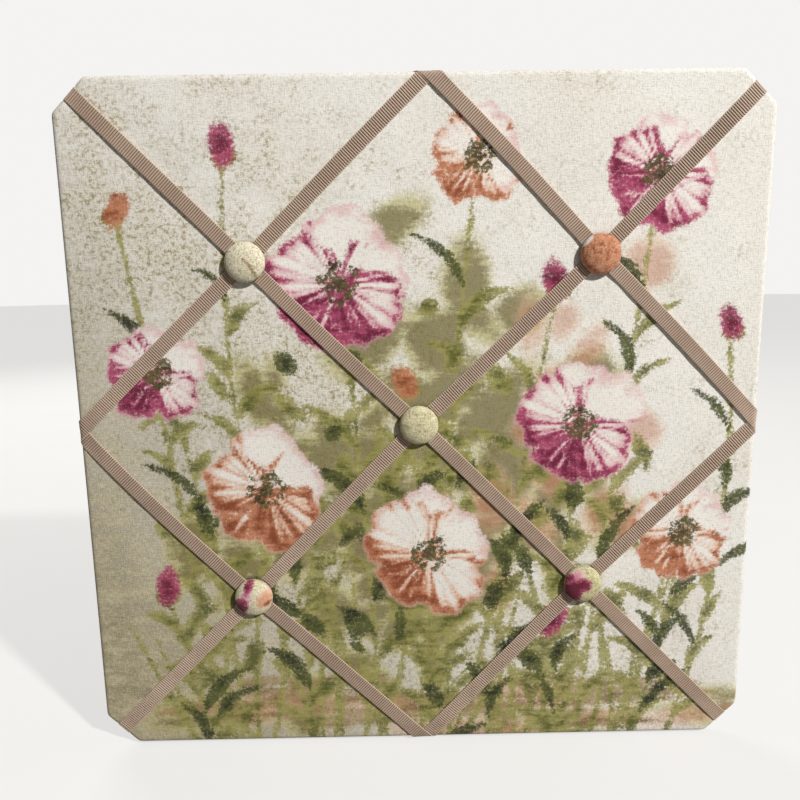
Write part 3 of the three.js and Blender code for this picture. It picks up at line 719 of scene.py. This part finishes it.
# Buds: paint, middle, half length and where the stem starts
BUDS = [
    ("rose", -82, 124, 9, -44),
    ("clay", -128, 98, 8, -96),
    ("rose", 60, 66, 9, 30),
    ("rose", 138, 46, 8, 112),
    ("clay", -6, 22, 8, -4),
    ("rose", -118, -72, 9, -104),
    ("rose", 62, -92, 9, 60),
]


def curve(start, end, bend, share=np.linspace(0, 1, STROKE_POINTS)[:, None]):
    """Points from start to end, bowed to the left by a share of the way."""
    start, end = np.array(start, float), np.array(end, float)
    along = end - start
    left = np.array((-along[1], along[0]))
    return start + share * along + 4 * bend * share * (1 - share) * left


class Print:
    """For each paint, how far inside its painted shapes each point of the flat cloth lies."""

    def __init__(self, flat):
        self.flat = flat
        self.inside = {name: np.full(len(flat), BARE) for name in PAINTS}

    def lay(self, paint, inside, where):
        """Adds a shape to those of a paint."""
        field = self.inside[paint]
        field[where] = np.maximum(field[where], inside)

    def near(self, low, high):
        """Numbers of the points in a box, with room for soft edges."""
        inside = (self.flat > low + BARE) & (self.flat < high - BARE)
        return np.flatnonzero(inside.all(axis=1))

    def around(self, x, z, reach):
        """Numbers of the points near a middle."""
        middle = np.array((x, z))
        return self.near(middle - reach, middle + reach)

    def stroke(self, paint, path, widths):
        """A brush stroke along points, with its width at each."""
        reach = max(widths) / 2
        where = self.near(path.min(axis=0) - reach, path.max(axis=0) + reach)
        for start, end, width, next_width in zip(path, path[1:], widths, widths[1:]):
            share, gap = from_stretch(self.flat[where], start, end)
            self.lay(paint, (width + share * (next_width - width)) / 2 - gap, where)

    def leaf(self, paint, start, end, width, bend):
        """A bowed leaf, widest in its middle."""
        path = curve(start, end, bend)
        share = np.linspace(0, 1, len(path))
        self.stroke(paint, path, 0.6 + width * np.sin(np.pi * share**0.8))

    def blot(self, paint, x, z, wide, high, turn):
        """An oval patch, turned by an angle."""
        where = self.around(x, z, max(wide, high))
        along, across = self.turned(where, x, z, turn)
        self.lay(paint, (1 - np.hypot(along / wide, across / high)) * min(wide, high), where)

    def turned(self, where, x, z, turn):
        """Places relative to a middle, along and across a direction."""
        right, up = (self.flat[where] - (x, z)).T
        return right * np.cos(turn) + up * np.sin(turn), up * np.cos(turn) - right * np.sin(turn)

    def petal(self, paint, x, z, radius, turn, shading, where, chance):
        """A petal over the others, palest in its middle and fullest at its foot and sides."""
        length = radius * chance.uniform(*PETAL_LENGTHS)
        width = radius * chance.uniform(*PETAL_WIDTHS)
        along, across = self.turned(where, x, z, turn)
        along = along / (0.52 * length) - 1
        across = across / (0.5 * width)
        angle = np.arctan2(across, along)
        frill = 1 + 0.06 * np.sin(5 * angle + chance.uniform(0, 6)) + 0.04 * np.sin(9 * angle)
        out = frill * np.hypot(along, across)
        inside = (1 - out) * 0.5 * width
        self.lay("blush", inside, where)
        full = 0.4 * across**2 + 0.3 * np.clip(-along, 0, 1) + 0.3 * smooth(out, 0.65, 1)
        full = full + shading + chance.uniform(-0.25, 0.05)
        for tone, least in ((HALF_TONES[paint], 0), (paint, 0.2)):
            field = self.inside[tone]
            shade = np.minimum(inside, 0.5 * radius * (full - least))
            kept = field[where] - PETAL_HIDES * np.clip(inside, 0, None)
            field[where] = np.maximum(kept, np.maximum(shade, BARE))

    def bloom(self, paint, x, z, radius, chance):
        """Open petals round a heart with stamens."""
        where = self.around(x, z, BLOOM_REACH * radius)
        right, up = (self.flat[where] - (x, z)).T
        angle = np.arctan2(up, right)
        streaks = np.sin(17 * angle + 2 * np.sin(3 * angle)) + np.sin(29 * angle)
        lit = self.turned(where, x, z, LIT_FROM)[0] / radius
        for k in range(PETALS):
            turn = np.pi / 2 + math.tau * (2 * k % PETALS) / PETALS + chance.uniform(-0.25, 0.25)
            self.petal(paint, x, z, radius, turn, 0.13 * streaks - 0.6 * lit, where, chance)
        self.lay("heart", HEART_RADIUS * radius - np.hypot(right, up), where)
        for k in range(STAMENS):
            turn = math.tau * (k + chance.uniform(-0.3, 0.3)) / STAMENS
            away = radius * chance.uniform(*STAMEN_PLACES)
            self.blot("heart", *((x, z) + away * heading(turn)), 1.9, 1.4, turn)

    def bud(self, paint, x, z, size, chance):
        """A closed bud between two leaves."""
        turn = np.pi / 2 + chance.uniform(-0.5, 0.5)
        self.blot(paint, x, z, size, 0.62 * size, turn)
        ahead = heading(turn)
        foot = (x, z) - size * ahead
        for side in (-0.35, 0.3):
            self.leaf("leaf", foot, foot + 1.1 * size * ahead, 0.5 * size, side)

    def stem(self, x, z, root, chance):
        """A stem from the meadow's foot, with leaves along it."""
        share = np.linspace(0, 1, STEM_POINTS)[:, None]
        path = curve((root, MEADOW_FOOT), (x, z), chance.uniform(-0.06, 0.06), share)
        self.stroke("leaf", path, np.linspace(3.0, 1.9, len(path)))
        for k in range(2, len(path) - 3):
            side = 1 if k % 2 else -1
            length = chance.uniform(16, 34)
            aim = np.pi / 2 + side * chance.uniform(0.4, 1.1)
            tip = path[k] + length * heading(aim)
            paint = "deep" if chance.uniform() < DEEP_LEAVES else "leaf"
            self.leaf(paint, path[k], tip, chance.uniform(3.5, 7.5), -side * chance.uniform(0.05, 0.22))


def meadow(flat):
    """The whole print at the flat cloth's points."""
    chance = np.random.default_rng(SEED)
    painted = Print(flat)

    def daub(paint, x, z, wide, high, turn):
        """A patch whose size and turn are drawn from spans."""
        painted.blot(paint, x, z, chance.uniform(*wide), chance.uniform(*high), chance.uniform(*turn))

    for _ in range(90):
        daub("wash", chance.normal(-4, 46), chance.normal(-30, 46), (10, 24), (6, 14), (0.6, 2.5))
    for _ in range(16):
        daub("peach", chance.normal(70, 34), chance.normal(0, 34), (9, 18), (6, 11), (0.6, 2.5))
    for _ in range(90):
        x, z = chance.normal(-6, 48), chance.normal(-52, 42)
        daub(chance.choice(("leaf", "leaf", "deep")), x, z, (4, 10), (2.4, 5), (0.4, 2.7))
    for k in range(20):
        paint = "wash" if k % 2 else "peach"
        daub(paint, chance.uniform(-110, 150), chance.uniform(-150, -126), (18, 34), (4, 8), (-0.1, 0.1))
    for _ in range(22):
        x, z = chance.uniform(-140, 110), chance.uniform(-150, -122)
        painted.leaf("umber", (x, z), (x + chance.uniform(40, 80), z + 3), 5, 0.04)
    for _ in range(34):
        root = chance.uniform(-110, 110)
        tip = (root + chance.uniform(-46, 46), chance.uniform(-120, -20))
        painted.leaf("leaf", (root, MEADOW_FOOT), tip, 2.6, chance.uniform(-0.12, 0.12))
    for _, x, z, _, root in BLOOMS:
        painted.stem(x, z, root, chance)
    for paint, x, z, size, root in BUDS:
        painted.stem(x, z - size, root, chance)
        painted.bud(paint, x, z, size, chance)
    for paint, x, z, radius, _ in BLOOMS:
        painted.bloom(paint, x, z, radius, chance)
    return painted.inside


def yellowing_and_shade(flat):
    """How yellowed and darkened the cloth is, most at the left edge and low down and least at the upper
    right: partly yellowing, partly painted shade where the light falls off towards the lower left.
    """
    x, z = flat[:, 0] / HALF, flat[:, 1] / HALF
    # The last term darkens the left edge with painted shade, as the padded edge turns from the light.
    return np.clip(0.31 - 0.34 * x - 0.26 * z + 0.15 * x * z + 0.08 * smooth(-x, 0.65, 1), 0, 1)


# Cover cloth


def side_marks():
    """Points of one side of the outline, from the middle of one cut to the next, with the way out at each."""
    turn = math.pi / 4
    corner = HALF - CORNER_CUT - CORNER_ROUND * math.tan(turn / 2)
    middle = HALF - CORNER_CUT / 2
    angle = np.linspace(math.pi / 2, turn, ROUND_STEPS + 1)
    straight = np.linspace(0, corner, SIDE_STEPS // 2 + 1)
    rounded = (corner, HALF - CORNER_ROUND) + CORNER_ROUND * heading(angle)
    share = np.linspace(0, 1, CUT_STEPS + 1)[1:, None]
    cut = rounded[-1] + share * (middle - rounded[-1])
    place = np.vstack((np.c_[straight, HALF + 0 * straight], rounded[1:], cut))
    way = np.hstack((math.pi / 2 + 0 * straight, angle[1:], turn + 0 * cut[:, 0]))
    marks = np.c_[place, heading(way)]
    mirrored = marks[:0:-1] * (-1, 1, -1, 1)
    return np.vstack((mirrored, marks))


SIDE_MARKS = side_marks()
SIDE_CELLS = len(SIDE_MARKS) - 1


def outline():
    """The whole outline, clockwise as seen from the front, with the way out at each point."""
    sides = []
    marks = SIDE_MARKS[:-1]
    for _ in range(4):
        sides.append(marks)
        marks = marks[:, (1, 0, 3, 2)] * (1, -1, 1, -1)
    return np.vstack(sides)


OUTLINE = outline()
OUT_POINTS, OUT_WAYS = OUTLINE[:, :2], OUTLINE[:, 2:]


def front_grid(offset, every=1):
    """Places of a grid that fills the outline at an offset, row by row from the bottom."""
    marks = SIDE_MARKS[::every]
    along = marks[:, 0] + offset * marks[:, 2]
    up = marks[:, 1] + offset * marks[:, 3]
    x = np.outer(up, along) / along[-1]
    return np.c_[x.ravel(), x.T.ravel()]


def grid_edge(number):
    """Vertex numbers round a grid, in the order of the outline."""
    return np.hstack((number[-1, :-1], number[:0:-1, -1], number[0, :0:-1], number[:-1, 0]))


def cloth_depth(flat):
    """Depth of the cloth's front, with the soft rise of each field between the ribbons."""
    x, z = flat.T
    rim = HALF - FRONT_ROLL - np.maximum(np.abs(x), np.abs(z))
    rise = PUFF * smooth(ribbon_gap(flat), *PUFF_SPAN)
    ripple = RIPPLE * sum(np.sin(right * x + up * z + begin) for right, up, begin in RIPPLE_WAVES)
    return soft_front(flat) + (rise + ripple) * smooth(rim, *PUFF_RIM_SPAN) - pressed(flat)


def corner_pleats():
    """Height of the folded cloth behind each corner, round the outline."""
    ways = np.degrees(np.arctan2(OUT_WAYS[:, 1], OUT_WAYS[:, 0])) % 90
    fold = np.abs(ways - 45) < PLEAT_REACH
    steps = np.sign(np.sin(np.radians(PLEAT_WAVES * ways)))
    return PLEAT * np.where(fold, PLEAT_MEAN + (1 - PLEAT_MEAN) * steps, 0)


class Shell:
    """Points and faces of a sheet: a grid over the front, rings that follow each other, a grid inside."""

    def __init__(self, place, depth, cells):
        number = grid_number(0, cells)
        self.points = [spots(place, depth)]
        self.faces = grid_quads(number)
        self.last = grid_edge(number)
        self.total = len(place)

    def ring(self, place, depth):
        """A ring of points, joined to the last one."""
        self.points.append(spots(place, depth))
        ring = self.total + np.arange(len(place))
        self.faces += ring_quads(self.last, ring)
        self.last = ring
        self.total += len(place)

    def close(self, place, depth, cells, join):
        """A grid that faces back, joined to the last ring; gives all points and faces."""
        number = grid_number(self.total, cells)
        self.points.append(spots(place, depth))
        self.faces += grid_quads(number[::-1]) + join(self.last, grid_edge(number))
        return np.vstack(self.points), self.faces


def cover_cloth(finish):
    """Cloth over the front, round the rim and turned in behind, with its inside."""
    flat = front_grid(-FRONT_ROLL)
    flats = [flat]
    shell = Shell(flat, cloth_depth(flat), SIDE_CELLS)
    start = OUT_POINTS - FRONT_ROLL * OUT_WAYS
    behind = OUT_POINTS * (1 - TURN_IN / HALF)

    def add(place, depth, run):
        shell.ring(place, depth)
        aside = place - OUT_POINTS
        aside -= (aside * OUT_WAYS).sum(axis=1)[:, None] * OUT_WAYS
        flats.append(start + run * OUT_WAYS + aside)

    def round_rim(first, last, steps, lift):
        for run in np.linspace(first, last, steps + 1)[1:]:
            offset, depth = rim_profile(run, lift - pressed(start + run * OUT_WAYS))
            add(OUT_POINTS + offset[:, None] * OUT_WAYS, depth, run)

    round_rim(0, ROLL_END, ROLL_STEPS, 0)
    round_rim(ROLL_END, SIDE_END, RIM_STEPS, 0)
    round_rim(SIDE_END, WRAP_END, RIM_STEPS, 0)
    fold = OUT_POINTS - BACK_ROLL * OUT_WAYS
    pleats = corner_pleats()
    for share in np.linspace(0, 1, TURN_IN_STEPS + 1)[1:]:
        run = WRAP_END + share * TURN_IN
        fall = pressed(start + run * OUT_WAYS) * (1 - smooth(share, *PRESS_END_SPAN))
        add(fold + share * (behind - fold), COVER_BACK + fall - pleats * smooth(share, *PLEAT_SPAN), run)
    add(behind, COVER_BACK + CLOTH, WRAP_END + TURN_IN)
    add(OUT_POINTS - CLOTH * OUT_WAYS, COVER_BACK + CLOTH, WRAP_END)
    round_rim(ROLL_END, ROLL_END, 1, -CLOTH)
    round_rim(ROLL_END, 0, RIM_STEPS, -CLOTH)

    inner = front_grid(-FRONT_ROLL, COARSE)
    mesh = shell.close(inner, front_depth(inner) - CLOTH, SIDE_CELLS // COARSE, fan_quads)
    piece = new_piece("cloth_cover", *mesh, finish, "cover_cloth", "fabric_cover")
    flats = np.vstack([*flats, inner])
    give_print(piece, flats, meadow(flats), yellowing_and_shade(flats))
    return piece


def fan_quads(fine, coarse):
    """Faces that join a ring to one with fewer points."""
    fine, coarse = fine.tolist(), coarse.tolist()
    faces = []
    for k, corner in enumerate(coarse):
        following = coarse[(k + 1) % len(coarse)]
        edge = [fine[(k * COARSE + n) % len(fine)] for n in range(COARSE + 1)]
        half = COARSE // 2
        faces += [(edge[n], edge[n + 1], corner) for n in range(half)]
        faces += [(edge[n], edge[n + 1], following) for n in range(half, COARSE)]
        faces.append((edge[half], following, corner))
    return faces


def give_print(piece, flat, paints, age_and_shade):
    """Stores the flat place, the painted shapes and the cloth's yellowing with its painted shade with a
    piece.
    """
    give(piece, "flat", np.c_[flat, 0 * flat[:, 0]])
    give(piece, "age_and_shade", age_and_shade)
    for name, inside in paints.items():
        give(piece, name, inside)


def padding_sheet(finish):
    """Padding under the cloth, flat behind."""
    flat = front_grid(-FRONT_ROLL, PAD_EVERY)
    cells = SIDE_CELLS // PAD_EVERY
    shell = Shell(flat, front_depth(flat) - INSIDE_CLOTH, cells)
    for run in np.linspace(0, ROLL_END, PAD_ROLL_STEPS + 1)[1:]:
        offset, depth = rim_profile(run, -INSIDE_CLOTH)
        shell.ring((OUT_POINTS + offset * OUT_WAYS)[::PAD_EVERY], depth)
    mesh = shell.close(front_grid(-INSIDE_CLOTH, PAD_EVERY), PAD_BACK, cells, ring_quads)
    return new_piece("padding_sheet", *mesh, finish, "padding", "padding")


# Ribbons


def ribbon_line(stops, bows):
    """The ribbon's middle on the flat cloth at even steps, the run to each stop, and the way to its left."""
    marks = ribbon_marks(stops)
    share = np.linspace(0, 1, LINE_STEPS, endpoint=False)[:, None]
    path = [curve(start, end, bow, share) for start, end, bow in zip(marks, marks[1:], (0, *bows, 0))]
    path = np.vstack([*path, marks[-1:]])
    run = np.cumsum(np.hypot(*np.diff(path, axis=0, prepend=path[:1]).T))
    stop_runs = run[LINE_STEPS:-LINE_STEPS:LINE_STEPS]
    steps = int(run[-1] / RIB_PITCH) * RIB_STEPS
    even = np.linspace(0, run[-1], steps + 1)
    middle = np.array([np.interp(even, run, column) for column in path.T]).T
    ahead = np.gradient(middle, axis=0)
    spread = np.full(2 * TURN_STEPS + 1, 1 / (2 * TURN_STEPS + 1))
    ahead = np.pad(ahead, ((TURN_STEPS, TURN_STEPS), (0, 0)), "edge")
    ahead = np.array([np.convolve(column, spread, "valid") for column in ahead.T]).T
    ahead /= np.hypot(*ahead.T)[:, None]
    return middle, even, stop_runs, np.c_[-ahead[:, 1], ahead[:, 0]]


def ribbon_float(even, stop_runs):
    """How far a ribbon stands off the cloth between its stops."""
    rise = np.zeros(len(even))
    for start, end in zip(stop_runs, stop_runs[1:]):
        share = np.clip((even - start) / (end - start), 0, 1)
        rise = np.maximum(rise, np.sin(math.pi * share) ** FLOAT_ROUND)
    return RIBBON_FLOAT * rise


def ribbon_level(even, stop_runs, levels):
    """How far a ribbon is lifted to lie over another, from 0 to 1."""
    level = np.zeros(len(even))
    for at, height in zip(stop_runs, levels):
        level = np.maximum(level, height * (1 - smooth(np.abs(even - at), *LEVEL_SPAN)))
    return level


# Places across a ribbon, as shares of its half width, and how full a rib is there
RIB_FULL = {1: 0.2, 0.88: 0.75, 0.5: 1, 0: 1, -0.5: 1, -0.88: 0.75, -1: 0.2}


def ribbon(name, finish):
    """A ribbed ribbon laid on the cloth, lifted over the others and carried round the rim."""
    stops, levels, bows = RIBBONS[name]
    middle, even, stop_runs, left = ribbon_line(stops, bows)
    level = ribbon_level(even, stop_runs, levels)
    rib = smooth(np.abs(np.sin(np.pi * even / RIB_PITCH)), *RIB_SPAN)
    rib_height = RIB_HEIGHT * (1 - RIB_PRESSED * ribbon_level(even, stop_runs, np.ones(len(levels))))
    half = RIBBON_WIDTH / 2 + RIB_EDGE * (rib - 0.5)
    under = RIBBON_SEAT + RIBBON_LAYER * level + ribbon_float(even, stop_runs)
    rows = [
        (share, under + RIBBON_THICKNESS + rib_height * full * (rib - RIB_SUNK))
        for share, full in RIB_FULL.items()
    ]
    rows += [(-1, under), (1, under)]
    columns = [wrapped(middle + left * (share * half)[:, None], lift) for share, lift in rows]
    points = np.stack(columns, axis=1).reshape(-1, 3)
    number = np.arange(len(points)).reshape(-1, len(rows))
    faces = tube_quads(number) + [number[0, ::-1].tolist(), number[-1].tolist()]
    points = spots(points[:, :2], points[:, 2])
    piece = new_piece(f"woven_{name}", points, faces, finish, "ribbon", name)
    place = [np.c_[even, share * half, 0 * even] for share, _ in rows]
    give(piece, "flat", np.stack(place, axis=1).reshape(-1, 3))


# Covered buttons


def cap_section():
    """Radius and height of the cap's cloth from the top outside, round the foot and back up inside."""
    turn = np.linspace(0, math.pi / 2, DOME_STEPS + 1)[1:]
    bend = np.linspace(0, math.pi / 2, CAP_EDGE_STEPS + 1)
    unbend = bend[::-3]
    inside_turn = np.linspace(math.pi / 2, 0, DOME_INSIDE_STEPS + 1)[:-1]
    rise = CAP_HEIGHT - CAP_EQUATOR
    edge_middle = CAP_RADIUS - EDGE_ROUND
    inner_round = EDGE_ROUND - CAP_CLOTH
    inner_radius = CAP_RADIUS - CAP_CLOTH
    parts = [
        (CAP_RADIUS * np.sin(turn), CAP_EQUATOR + rise * np.cos(turn)),
        (edge_middle + EDGE_ROUND * np.cos(bend), EDGE_ROUND - EDGE_ROUND * np.sin(bend)),
        ([TUCK_INSIDE, TUCK_INSIDE, TUCK_INSIDE + CAP_CLOTH], [0, CAP_TUCK, CAP_TUCK]),
        ([TUCK_INSIDE + CAP_CLOTH, edge_middle], [CAP_CLOTH, CAP_CLOTH]),
        (edge_middle + inner_round * np.cos(unbend), EDGE_ROUND - inner_round * np.sin(unbend)),
        (inner_radius * np.sin(inside_turn), CAP_EQUATOR + (rise - CAP_CLOTH) * np.cos(inside_turn)),
    ]
    return np.vstack([np.array(part).T for part in parts])


# The scrap of print on each button: paints all over it, with how far inside they lie, and blots
SCRAPS = {
    "upper_left": ({"wash": -0.8}, []),
    "upper_right": ({"coral": 3.5, "clay": 0.2}, [("light", -8, 6.6, 4, 2.8, 0.6)]),
    "centre": ({"wash": 0.2}, []),
    "lower_left": (
        {"wash": -0.2},
        [
            ("coral", 6, 0.5, 6, 4, 0.9),
            ("clay", 7, -2, 2.4, 1.2, 0.5),
            ("pink", -3, 1.5, 5, 2.6, 1.2),
            ("rose", -6.2, -3.6, 5.2, 3.6, 1.1),
            ("rose", -1.8, 7, 4.6, 2.2, 1.2),
        ],
    ),
    "lower_right": (
        {"wash": 0.6},
        [
            ("pink", -3.8, 4.8, 4, 2.8, 0.5),
            ("rose", -6, -3.6, 7.5, 5.2, 1.2),
            ("rose", -1.2, 0.6, 4.6, 3.4, 0.1),
            ("rose", -7, 3.4, 2.8, 2, 0.8),
        ],
    ),
}


def button_print(name, flat):
    """The print at the points of a button's flat cloth."""
    painted = Print(flat)
    washes, blots = SCRAPS[name]
    for paint, inside in washes.items():
        painted.lay(paint, inside, np.arange(len(flat)))
    for blot in blots:
        painted.blot(*blot)
    if name == "upper_left":
        painted.stroke("umber", curve((0, 1), (6, -9), 0.08), np.linspace(1.4, 1.8, STROKE_POINTS))
    return painted.inside


def button_cap(name, finish):
    """Cloth drawn over a button's dome, lightly puckered towards its foot."""
    section = cap_section()
    run = np.cumsum(np.hypot(*np.diff(section, axis=0, prepend=[(0, CAP_HEIGHT)]).T))
    outside = int(np.argmax(section[:, 1] <= 0)) + 1
    turn = np.linspace(0, math.tau, CAP_SEGMENTS, endpoint=False)
    way = heading(turn)
    pucker = PUCKER_DEPTH * smooth(run, *PUCKER_SPAN) * (np.arange(len(run)) <= outside)
    waves = 0.5 + 0.5 * np.sin(PUCKERS * turn + PUCKER_SWAY * np.sin(3 * turn))
    radius = section[:, :1] - pucker[:, None] * waves
    top = [(0, 0)]
    place = np.vstack((top, (radius[:, :, None] * way).reshape(-1, 2), top))
    height = np.repeat(section[:, 1], CAP_SEGMENTS)
    height = np.hstack(([CAP_HEIGHT], height, [CAP_HEIGHT - CAP_CLOTH]))
    number = 1 + np.arange(len(section) * CAP_SEGMENTS).reshape(-1, CAP_SEGMENTS)
    first, last = number[0], number[-1]
    faces = np.c_[0 * first, first, np.roll(first, -1)].tolist()
    faces += tube_quads(number[::-1])
    faces += np.c_[0 * last + len(place) - 1, np.roll(last, -1), last].tolist()
    node = f"button_cap_{name}"
    points = spots(CROSSINGS[name] + place, depth_behind(node) + height)
    piece = new_piece(f"cloth_cap_{name}", points, faces, finish, f"button_cloth_{name}", node)
    flat = (np.minimum(run, run[outside])[:, None, None] * way).reshape(-1, 2)
    flat = np.vstack((top, flat, top))
    # Darker towards the foot: painted shade where the cap turns under, with some soiling.
    age_and_shade = BUTTON_AGE + RIM_SOIL_AND_SHADE * smooth(np.hypot(*flat.T), *RIM_SOIL_AND_SHADE_SPAN)
    give_print(piece, flat + SCRAP_SPREAD * CROSSINGS[name], button_print(name, flat), age_and_shade)


# Stage

FLOOR_RADIUS = 9.0  # metres, as are the lamps' places
FLOOR_SEGMENTS = 96
FLOOR_GLOW = 0.71  # of white, where it is seen, so that the floor stays pale round the shadow
FILL = 0.075  # light from all round
LAMP_COLOUR = (1.0, 0.985, 0.96)

# Lamps: place, power and size
LAMPS = {
    "key": ((1.28, -1.36, 1.34), 65, 0.12),
    "back": ((-0.7, 1.2, 0.9), 13, 1.0),
}


def studio_floor():
    """A plain pale floor at the board's foot."""
    low = CAD_BOX[0][2]
    turn = np.linspace(0, math.tau, FLOOR_SEGMENTS, endpoint=False)
    rim = np.c_[FLOOR_RADIUS * heading(turn), low + 0 * turn]
    look = Finish("floor", 0.9)
    cloud = look.noise(140, 3)
    look.colour(look.mix(cloud, "#81807e", "#888785"))
    look.shade("Emission Color", "#f3f2f0")
    look.shade("Emission Strength", look.math("MULTIPLY", look.seen(), FLOOR_GLOW))
    floor = new_mesh("floor", rim, [list(range(FLOOR_SEGMENTS))], look)


def studio_light():
    """Soft light all round, a lamp from the upper right and a weaker, broad one behind."""
    SCENE.world = bpy.data.worlds.new("studio")
    sky = Nodes(SCENE.world, "Background")
    sky.shade("Color", "#f4f3f1")
    sky.shade("Strength", sky.ramp(sky.seen(), 0, 1, FILL, 1.0))
    for name, (place, power, size) in LAMPS.items():
        lamp = bpy.data.lights.new(name, "AREA")
        lamp.size = size
        lamp.energy = power
        lamp.color = LAMP_COLOUR
        holder = new_object(name, lamp)
        holder.location = place
        holder.rotation_euler = (-holder.location).to_track_quat("-Z", "Y").to_euler()


def photo_camera():
    """The photograph's viewpoint."""
    lens = bpy.data.cameras.new("camera")
    lens.lens = CAMERA_LENS
    lens.clip_start = CAMERA_NEAR * MM
    SCENE.camera = new_object("camera", lens)
    SCENE.camera.location = [value * MM for value in CAMERA_PLACE]
    SCENE.camera.rotation_euler = [math.radians(value) for value in CAMERA_TURN]


def finish_node(node, finish):
    """Gives a CAD node that is shown a better material."""
    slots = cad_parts[node].data.materials
    slots.clear()
    slots.append(finish.material)


photo_camera()
studio_floor()
studio_light()
SCENE.view_settings.view_transform = "Standard"

cover = cover_cloth(printed_cloth("printed_cloth", 1.0, "#f1eee8", "#ebe7de", 0.0))
pad = padding_sheet(wadding())

RIBBED = grosgrain()
for ribbon_name in RIBBONS:
    ribbon(ribbon_name, RIBBED)

METAL = plated_metal("plated_metal", "#d4d5d6", "#b9babb")
WIRE = plated_metal("shank_wire", "#b5b4b0", "#97968f")
THREAD = twisted_thread()
SCRAP = printed_cloth("button_cloth", 0.4, "#f7f0db", "#efe7ce", 0.15)
for button in BUTTONS:
    button_cap(button, SCRAP)
    for inner, stuff in {"dome": METAL, "plate": METAL, "shank": WIRE, "tie": THREAD}.items():
        finish_node(f"button_{inner}_{button}", stuff)

finish_node("core_board", hardboard())
finish_node("backing_sheet", kraft_board())
RUBBER = magnet_rubber()
for strip in ("upper", "middle", "lower"):
    finish_node(f"magnetic_strip_{strip}", RUBBER)
